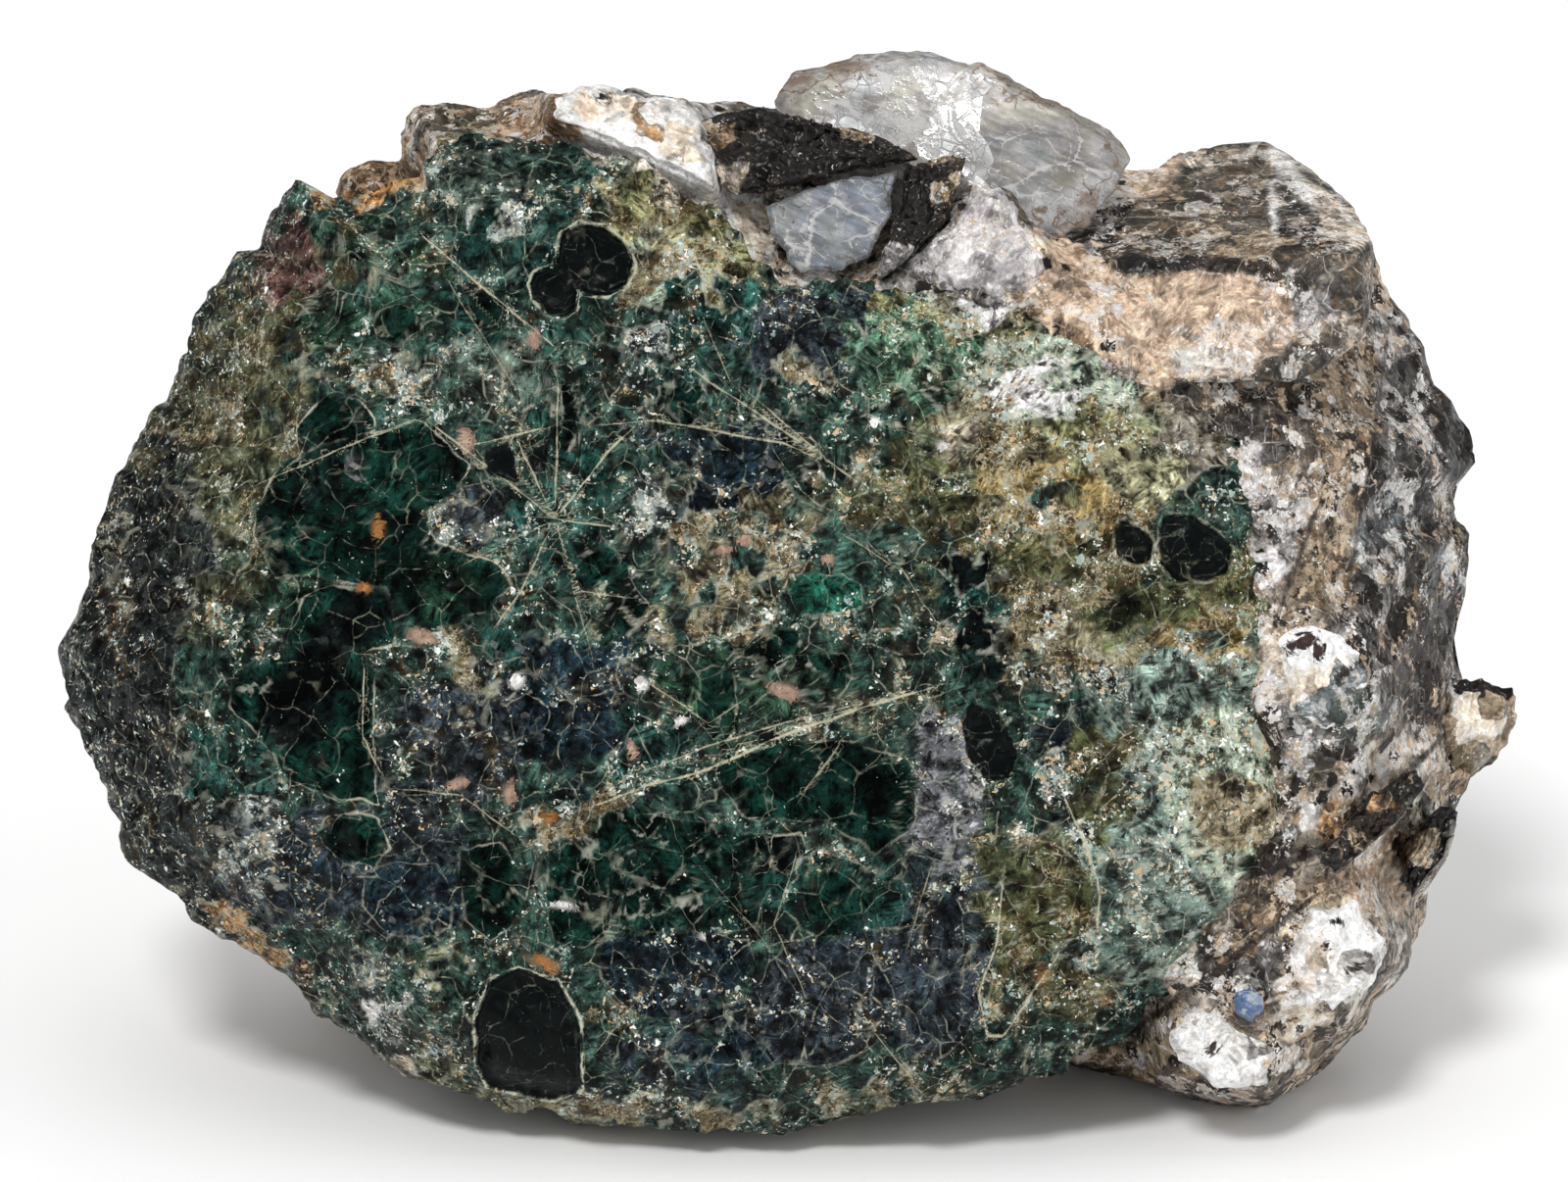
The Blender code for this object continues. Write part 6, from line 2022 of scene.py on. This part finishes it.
ROCK_PAINTING = Painting(Kind.STONE, patches(
    (Kind.RUST, -15, 29.8, 5, 1.8, 0.95), (Kind.RUST, -25.6, 26.4, 3.4, 1.6, 1, 0.4, 16),
    (Kind.OLIVE, -20.9, 29.6, 2.8, 1.4, 0.9), (Kind.WHITE, -8, 28, 6.4, 3.6, 1, 0.3, -14),
    (Kind.WHITE, -4.8, 26.4, 2, 3.4, 1, 0.3, 10), (Kind.CREAM, -2.2, 22.6, 1.8, 2.2, 1, 0.4, 30),
    (Kind.CREAM, 2, 19.8, 4.8, 1.3, 0.9, 0.4, -4), (Kind.HAZE, 12.8, 20.6, 5, 3.4, 0.9, 0.4, -20),
    (Kind.GRIT, 9.6, 18.8, 4.6, 1.8, 0.8, 0.5, -8), (Kind.GRIT, 19, 23.2, 3, 2.6, 0.9),
    (Kind.PEACH, 19, 18.4, 5, 3, 1, 0.3, -34), (Kind.ASH, 30, 11, 5.4, 2.4, 1, 0.3, -6),
    (Kind.HAZE, 29.6, 8, 2.2, 2.6, 0.8), (Kind.HAZE, 31.6, 2.4, 2.2, 4, 0.7, 0.4, -20),
    (Kind.GRIT, 30.6, 5.4, 2, 1.4, 0.9), (Kind.GRIT, 40.6, 7, 4.2, 14, 0.95, 0.3, -4),
    (Kind.BARK, 42.4, 15, 2, 6, 0.7, 0.4, 14), (Kind.BLUISH, 38.4, 3.4, 2, 2.4, 0.6),
    (Kind.BARK, 41.6, 0, 2.8, 5.4, 0.9), (Kind.BLUISH, 42.6, 1.6, 1, 1.2, 0.8),
    (Kind.BLACK, 43.2, 9.2, 1.6, 2.2), (Kind.GRIT, 35, -7, 4.4, 6, 0.8),
    (Kind.SMOKE, 33.4, -10.6, 2, 1.8, 0.8), (Kind.CREAM, 38, -10.2, 2, 1, 0.9),
    (Kind.CREAM, 36.8, -13, 3.2, 2, 0.9, 0.4, 36), (Kind.CRUST, 34.8, -14.6, 1.8, 1, 0.9, 0.4, 36),
    (Kind.FIBRE, 31.6, -21.4, 3.4, 2.6, 0.95, 0.4, 40), (Kind.GRIT, 29.6, -23.6, 2.6, 1.6, 0.9, 0.4, 30),
    (Kind.BARK, 30.6, -17.6, 2.4, 1.2, 0.9, 0.4, 34), (Kind.PEACH, 37.6, -18.6, 2.8, 2.4, 0.9, 0.4, 30),
    (Kind.CREAM, 38.8, -14.6, 2.4, 1.4, 0.9, 0.4, 40), (Kind.CREAM, 39.8, -11.2, 1.6, 1.8, 0.9),
    (Kind.CREAM, 33.6, -26.4, 3, 1.6, 0.8, 0.4, 30), (Kind.FIBRE, 23.5, -29.6, 5.4, 1.9, 0.9, 0.4, -4),
    (Kind.CREAM, 27, -28.6, 2.6, 2.2, 0.5), (Kind.FIBRE, 32, -29.8, 2.4, 1.4, 0.8, 0.4, 30),
), (
    *CORNER_SHAPES,
    Shape(Kind.WHITE, ((33.2, -20.8), (34.8, -20.6), (35.6, -21.2), (37.4, -22.4), (37.4, -23.9),
        (36.2, -24.8), (34.2, -24.4), (33.4, -23)), 0),
    Shape(Kind.WHITE, ((32, -25.6), (33.8, -24.9), (34.6, -25.9), (33.2, -26.8), (32, -26.6)), 0),
    Shape(Kind.WHITE, ((35.8, -25.6), (36.9, -24.9), (37.4, -25.4), (36.2, -26.6)), 0),
    Shape(Kind.WHITE, ((25.2, -27.4), (26, -26.6), (27.2, -26.9), (27.8, -28.6), (26.8, -30.1),
        (25.6, -29.6), (25, -28.6)), 0),
    Shape(Kind.CREAM, ((26.8, -30.1), (28.4, -28.9), (30.4, -28.8), (31.6, -29.8), (30.4, -30.9),
        (29.2, -31.3), (27.2, -30.9)), 0),
    Shape(Kind.PEACH, ((35.9, -16.4), (37.5, -15.6), (39.6, -17.5), (39.8, -20.6), (37.5, -21.6),
        (36.1, -19.1)), 0, 0.9),
    Shape(Kind.CREAM, ((30.2, -2.6), (31.4, -3.1), (32.6, -2.8), (34.2, -3.4), (35.2, -4.2), (34.2, -5.6),
        (32.6, -6.2), (32.1, -7.4), (30.9, -6.8), (30.6, -4.6)), 0),
    Shape(Kind.BLUISH, ((35.9, -4.4), (36.9, -4.4), (37.6, -5.2), (37.4, -6.2), (36.4, -6.4),
        (35.6, -5.6)), 0.9),
    Shape(Kind.BLUISH, ((33.6, -6.4), (34.4, -6), (35.1, -6.6), (34.8, -7.5), (33.8, -7.5)), 0.5),
    Shape(Kind.DUSK, ((34.1, -7.6), (36.2, -7.4), (38.2, -7.9), (38.5, -9.4), (36.6, -10.1),
        (34.5, -9.5)), 0.2, 0.9),
    Shape(Kind.WHITE, ((33.1, -13.6), (34.1, -13.3), (34.2, -14.6), (33.8, -15.5), (32.8, -15.3)), 0),
    Shape(Kind.CREAM, ((38.2, -9.6), (40.1, -9.8), (41.6, -10.5), (40.9, -12.2), (39.2, -12.1)), 0),
    Shape(Kind.BARK, ((38, -2.2), (40.6, -1.2), (42.6, -3.8), (42.5, -8.9), (40, -8.4),
        (38.2, -6.2)), 0, 0.9),
    Shape(Kind.FIBRE, ((32.6, 18.8), (34.5, 15.9), (37.2, 18.8), (37.8, 11.2), (36.2, 2.5), (32.8, -2.5),
        (31.6, -1.9), (33.4, 5), (34.1, 10.6)), 0),
), patches(
    (Kind.BLACK, 40.6, -10.6, 0.3, 0.2, 1, 0.3),
), -26)
REAR_PAINTING = Painting(Kind.STONE, patches(
    (Kind.GRIT, -8, -4, 24, 18, 0.5, 0.5, 20), (Kind.WHITE, -20, 12, 9, 5, 0.7, 0.4, 30),
    (Kind.CREAM, 14, -14, 12, 5, 0.6, 0.4, -20), (Kind.HAZE, 4, 18, 8, 4, 0.8, 0.4, -10),
    (Kind.PEACH, 28, 8, 7, 6, 0.7, 0.4, 40), (Kind.BARK, -4, 3, 13, 3.2, 0.75, 0.5, 24),
    (Kind.BARK, 22, -3, 9, 2.6, 0.75, 0.5, 36), (Kind.BLACK, -14, -14, 7, 2, 0.7, 0.5, -18),
    (Kind.CRUST, 8, 6, 6, 3, 0.7, 0.5, 10), (Kind.RUST, -28, -4, 4, 8, 0.6, 0.5, 12),
    (Kind.HAZE, -4, -22, 9, 3.6, 0.7, 0.5, 6), (Kind.FIBRE, 30, -16, 6, 5, 0.6, 0.5),
    (Kind.BLUISH, -30, 14, 4, 5, 0.6, 0.5),
))
ROCK_VEINS = (
    Vein(((34.2, -19.4), (26.4, -25.4), (19.8, -29.8)), 0.45, 1),
    Vein(((31.5, 27.9), (37.3, 23.3), (38, 22.1), (38.2, 20.9)), 0.35, 0.8),
    Vein(((27.8, -6.2), (31.9, -10)), 0.25, 0.9),
    Vein(((32.4, 21.6), (33.6, 19.6), (34.4, 17.4)), 0.2, 0.8), Vein(((34, 5), (31.2, -2.5)), 0.35, 0.9),
    Vein(((30, -18.4), (35.4, -16.2), (39.6, -12), (42, -9.4)), 0.5, 1),
    Vein(((38.6, 17), (37.4, 8), (35.6, -2)), 0.25, 0.7),
)
GRAINS = (
    Grain("large_quartz", "quartz_large", ((-0.6, 31), (0.8, 32.8), (3.1, 33.5), (6.2, 34.4), (9.4, 34.2),
        (12.5, 33.4), (15, 32.1), (18.1, 30.5), (20.6, 29.2), (22.1, 27.5), (21.4, 25.6), (19.4, 23.3),
        (16.6, 22.2), (7, 22.6), (0.6, 26.5)),
        -8.9, (0.04, -0.42), 11.5, 0.86, 0.9, 0.72, Fracture.GLASSY, 1.2, half=70, seed=301),
    Grain("small_quartz", "quartz_small", ((-1.5, 24.4), (3.1, 26.2), (7.3, 26.6), (6.9, 24), (5.5, 21),
        (3.8, 20.1), (1.2, 20.3), (-0.6, 22)),
        -3, (0, -0.4), 3.6, 0.88, 0.5, 0.8, Fracture.GLASSY, 0.9, half=60, seed=311),
    Grain("milky_quartz", "quartz_milky", ((12.2, 26.3), (13.7, 25.8), (15.2, 23.2), (16.5, 21.3),
        (15.6, 18.7), (11.2, 19), (8.4, 20.4), (10.7, 23.1)),
        -2.4, (-0.06, -0.28), 3.5, 0.72, 0.8, 0.8, Fracture.SUGARY, 0.8, grip=1.5, seed=321),
    Grain("left_mica_book", "mica_book_left", ((-5.3, 29.8), (-1.2, 30.6), (1.9, 29.8), (6.2, 28.9),
        (8.8, 27.3), (5, 26.7), (0, 25.6), (-3, 25), (-4.1, 26.2), (-4.4, 28.2)),
        -3.9, (-0.1, -0.1), 3.6, 0.8, 0.7, 0.9, Fracture.SHEETS, 0.9, -8, 0.9, half=60, seed=331),
    Grain("right_mica_book", "mica_book_right", ((7.6, 26.9), (11.6, 27.4), (10.3, 23.5), (7.1, 20.3),
        (5.9, 19.5), (6.3, 21.6), (7.6, 24.3)),
        -2.8, (0, -0.3), 3.6, 0.8, 0.5, 0.85, Fracture.SHEETS, 0.8, 64, 0.8, seed=341),
    Grain("top_feldspar", "feldspar_top", ((-14.6, 31.2), (-12, 32), (-8, 31.6), (-5.9, 30.4), (-4.9, 28),
        (-4.7, 25.7), (-6.2, 26.4), (-11.2, 28.6), (-14.6, 29.9)),
        -3.4, (-0.05, -0.55), 6.5, 0.84, 0.7, 0.8, Fracture.BLOCKY, 0.9, grip=1.5, seed=351),
    Grain("side_feldspar", "feldspar_side", ((31.7, -3.4), (33.1, -2.4), (35.8, -2.9), (37.4, -5.6),
        (37, -8.2), (34.6, -9.3), (32.3, -7.8)),
        -1.4, (-0.25, 0), 5.5, 0.7, 0.9, 0.75, Fracture.BLOCKY, 0.9, grip=3, seed=361),
    Grain("side_knob", "side_knob", ((42, -5.8), (44.4, -5.9), (46.4, -6.4), (46.6, -8.6), (45.6, -11),
        (43.8, -12.1), (42.2, -11.6), (41.6, -8.6)),
        -18.5, (-0.5, 0.1), 8, 0.7, 1.2, 0.75, Fracture.BLOCKY, 0.9, seed=371),
    Grain("blue_grain", "blue_grain", ((28.9, -25.9), (29.7, -25.6), (30.4, -26.1), (30.4, -26.9),
        (29.8, -27.4), (29.1, -27)),
        -1.9, (-0.1, 0.1), 2.6, 0.6, 0.35, 0.7, Fracture.GLASSY, 0.5, half=16, grip=1.5, seed=381),
    Grain("lower_inner_feldspar", "feldspar_low_inner", ((26.2, -26.8), (27.6, -26.6), (29.2, -28.6),
        (31.4, -29.4), (30.6, -31.4), (27.4, -31.8), (25, -30.2), (24.8, -28.4)),
        -3, (-0.1, 0.25), 5.5, 0.75, 0.8, 0.8, Fracture.BLOCKY, 0.8, grip=3, seed=391),
    Grain("lower_outer_feldspar", "feldspar_low_outer", ((33.6, -20.3), (36.3, -20), (38.2, -22.5),
        (37.6, -25), (35, -26.9), (32.6, -25.8), (32.2, -23)),
        -3.6, (-0.45, 0.1), 5.5, 0.75, 0.8, 0.8, Fracture.BLOCKY, 0.8, grip=3, seed=401),
    Grain("mica_plate", "mica_plate", ((33.9, -17.6), (37.3, -13.2), (40.2, -11.6), (40.7, -12.7),
        (38.3, -15.8), (35, -18.3)),
        -2.4, (-0.4, 0), 6, 0.8, 0.4, 0.9, Fracture.SHEETS, 0.7, 42, 0.6, seed=411),
    Grain("mica_edge", "mica_edge", ((42.9, -14.4), (42.2, -17.2), (40, -19.9), (39.2, -18.6),
        (40.4, -15.8), (41.8, -14)),
        -8.2, (-0.5, 0), 7, 0.8, 0.5, 0.85, Fracture.SHEETS, 0.7, 60, 0.6, seed=421),
)
SMOKY_BLOCK = Block("smoky_crystal", "smoky_block", (
    (20, 21.6, -5.4), (22, 20.9, -3.4), (25, 20.4, -2.4), (30.6, 21, -2.2), (36.4, 21.7, -3.4),
    (37.8, 22.2, -6), (23.4, 26.4, -17.4), (25, 28, -20), (30.3, 28.9, -21.4), (33.1, 27.2, -19),
    (35.9, 24.9, -13.6), (21, 17.4, -3.2), (25, 13.2, -1.4), (33, 13.2, -1.6), (37.2, 16, -3.6),
    (22.6, 15, -13), (34, 14, -15), (37, 17, -13),
))
MICA_PATCHES = patches(
    (Kind.CRUST, -4, 29.6, 2.2, 0.7, 0.8, 0.5, -4), (Kind.GOLD, -2.8, 28.2, 1, 1, 0.8, 0.5),
    (Kind.FIBRE, 5.4, 28.6, 2.4, 0.4, 0.8, 0.5, -20), (Kind.GOLD, 11, 25, 1.2, 2.4, 0.8, 0.5, 14),
    (Kind.FIBRE, 9, 26.8, 1.8, 0.6, 0.6, 0.5, 10), (Kind.BARK, 36.4, -15.6, 1.2, 3.4, 0.8, 0.5, -44),
    (Kind.FIBRE, 40.6, -16.6, 0.7, 3, 0.9, 0.5, -38), (Kind.HAZE, 7.2, 21.2, 1.8, 1.6, 0.9, 0.5),
    (Kind.CREAM, -3.8, 25.9, 1, 1.2, 0.9, 0.5), (Kind.CRUST, 37.6, -14, 0.8, 0.9, 0.6, 0.5),
)
GRAIN_PATCHES = patches(
    (Kind.CREAM, 44, -8.4, 1.8, 1.8, 0.8), (Kind.WHITE, 44.6, -7.6, 0.9, 0.7, 0.8),
    (Kind.BLACK, 44.4, -5.9, 2.4, 1, 1, 0.3, -4), (Kind.MOSS, 44.2, -11.4, 2, 1.3, 0.9),
    (Kind.CREAM, 34, -6.4, 2.6, 3, 0.8), (Kind.BLUISH, 36.4, -5.4, 1.6, 1.4, 0.8),
    (Kind.DUSK, 36, -8, 2, 1.2, 0.9), (Kind.BLUISH, 33.8, -7.2, 1.2, 1, 0.9),
    (Kind.CREAM, 35, -23.4, 1.6, 1.4, 0.6), (Kind.GRIT, 37.2, -24, 1.2, 1, 0.8),
    (Kind.GRIT, 30.2, -29.4, 1.4, 1, 0.6), (Kind.LILAC, 26.4, -28.4, 1.4, 1, 0.6),
    (Kind.RUST, 33, -25.4, 1.4, 0.6, 0.6, 0.4, 30), (Kind.CREAM, -9.6, 29, 3.6, 1.2, 0.8, 0.4, -20),
    (Kind.CRUST, -8.6, 29.6, 1.2, 0.5, 0.8), (Kind.CRUST, -13.4, 30.4, 0.9, 0.9, 0.8),
)
GRAIN_SPOTS = patches(
    (Kind.MAROON, 33.2, -3.4, 0.9, 0.5, 1, 0.3, 20), (Kind.MAROON, 34.1, -4.1, 0.4, 0.5, 1, 0.3),
    (Kind.MAROON, 32.3, -3.8, 0.4, 0.4, 1, 0.3), (Kind.BARK, 35.8, -5.4, 0.5, 0.3, 1, 0.3, 40),
    (Kind.BLACK, 35.2, -21.4, 0.3, 0.2, 1, 0.3), (Kind.BLACK, 34.6, -22.8, 0.2, 0.2, 1, 0.3),
    (Kind.BARK, 36.4, -24.2, 0.5, 0.3, 1, 0.3, 30), (Kind.BARK, 27.4, -29.4, 0.4, 0.3, 1, 0.3, 60),
    (Kind.BLACK, -11.6, 31.2, 0.5, 0.25, 1, 0.3),
)
BLOCK_PAINTING = Painting(Kind.ASH, patches(
    (Kind.SMOKE, 25, 23.4, 4.6, 1.6, 0.6), (Kind.BARK, 33, 22.4, 3, 1.4, 0.6),
    (Kind.FIBRE, 29.4, 21.6, 4, 0.8, 0.8, 0.5), (Kind.CREAM, 28, 27.6, 4.4, 0.8, 0.5, 0.5),
), CORNER_SHAPES)
FLOOR_HALF = 3.0


def studio() -> None:
    """Sets the pale floor, the soft light and the camera at the photograph's viewing angle."""
    corners = np.array([[-1.0, -1.0, 0.0], [1.0, -1.0, 0.0], [1.0, 1.0, 0.0], [-1.0, 1.0, 0.0]])
    floor = make_piece("floor", FLOOR_HALF * corners, [[0, 1, 2, 3]])
    material, g, shader = new_finish("pale_floor")
    tone = g.climb(g.noise(g.place(), 6.0).outputs["Fac"], 0.3, 0.7, 0.95, 0.97)
    g.feed(shader.inputs["Base Color"], tone)
    shader.inputs["Roughness"].default_value = 0.9
    shader.inputs["Specular IOR Level"].default_value = 0.1
    floor.data.materials.append(material)

    for name, elevation, heading, strength, spread in (
        ("key", 56.0, -112.0, 1.6, 14.0),
        ("top", 76.0, 70.0, 0.4, 50.0),
        ("low", 16.0, -30.0, 0.7, 60.0),
    ):
        lamp = bpy.data.lights.new(name, "SUN")
        lamp.energy = strength
        lamp.angle = math.radians(spread)
        holder = bpy.data.objects.new(name, lamp)
        turned = Matrix.Rotation(math.radians(heading + 90.0), 4, "Z")
        holder.matrix_world = turned @ Matrix.Rotation(math.radians(90.0 - elevation), 4, "X")
        bpy.context.scene.collection.objects.link(holder)

    world = bpy.data.worlds.new("studio")
    world.use_nodes = True
    g = Graph(world.node_tree)
    rays = g.add("LightPath").outputs
    back = world.node_tree.nodes["Background"]
    g.feed(back.inputs["Color"], (1.0, 1.0, 1.0))
    soft = g.climb(rays["Is Glossy Ray"], 0.0, 1.0, 0.52, 0.20)
    g.feed(back.inputs["Strength"], g.climb(rays["Is Camera Ray"], 0.0, 1.0, soft, 0.98))
    bpy.context.scene.world = world

    lens = bpy.data.cameras.new("eye")
    lens.sensor_width = 36.0
    lens.lens = lens.sensor_width * FACE.view_distance / FACE.frame_width
    lens.clip_start, lens.clip_end = 0.01, 20.0
    camera = bpy.data.objects.new("eye", lens)
    camera.matrix_world = FACE.eye()
    bpy.context.scene.collection.objects.link(camera)
    bpy.context.scene.camera = camera
    bpy.context.scene.view_settings.view_transform = "Standard"


def build_grains() -> None:
    """Builds every grain with its finish."""
    clear = QuartzFinish("clear_quartz").make()
    small = QuartzFinish("blue_grey_quartz", (0.46, 0.49, 0.56), rind=(0.20, 0.15, 0.10)).make()
    blue = QuartzFinish(
        "blue_crystal", (0.12, 0.21, 0.42), (0.55, 0.62, 0.72), (0.4, 0.42, 0.45), 0.3, (0.3, 0.4, 0.8)
    ).make()
    feldspar, mica = rock_finish("feldspar", 0.28, 0.35, 0.85), rock_finish("mica", 0.16, 0.8, 0.4)
    clears = {
        "quartz_large": (clear, "clear_quartz"), "quartz_small": (small, "clear_quartz"),
        "blue_grain": (blue, "blue_crystal"),
    }
    for grain in GRAINS:
        if grain.node in clears:
            grain.build(*clears[grain.node], None)
        elif grain.sheet:
            grain.build(mica, "mica", Painting(Kind.BLACK, MICA_PATCHES))
        else:
            ground = {"side_knob": Kind.FIBRE, "quartz_milky": Kind.HAZE}.get(grain.node, Kind.WHITE)
            slot = "milky_quartz" if grain.node == "quartz_milky" else "feldspar"
            grain.build(feldspar, slot, Painting(ground, GRAIN_PATCHES, (), GRAIN_SPOTS))
    SMOKY_BLOCK.build(rock_finish("smoky_crystal", 0.12, 0.55, 0.5), "smoky_quartz", BLOCK_PAINTING)


def main() -> None:
    """Builds every piece of the stone and the studio."""
    logging.basicConfig(level=logging.INFO, format="%(message)s")
    Cordierite(FACE_PAINTING, FACE_VEINS, FACE_PANES).build()
    HostRock(ROCK_PAINTING, ROCK_VEINS, REAR_PAINTING, GRAINS).build()
    build_grains()
    studio()


if __name__ == "__main__":
    main()
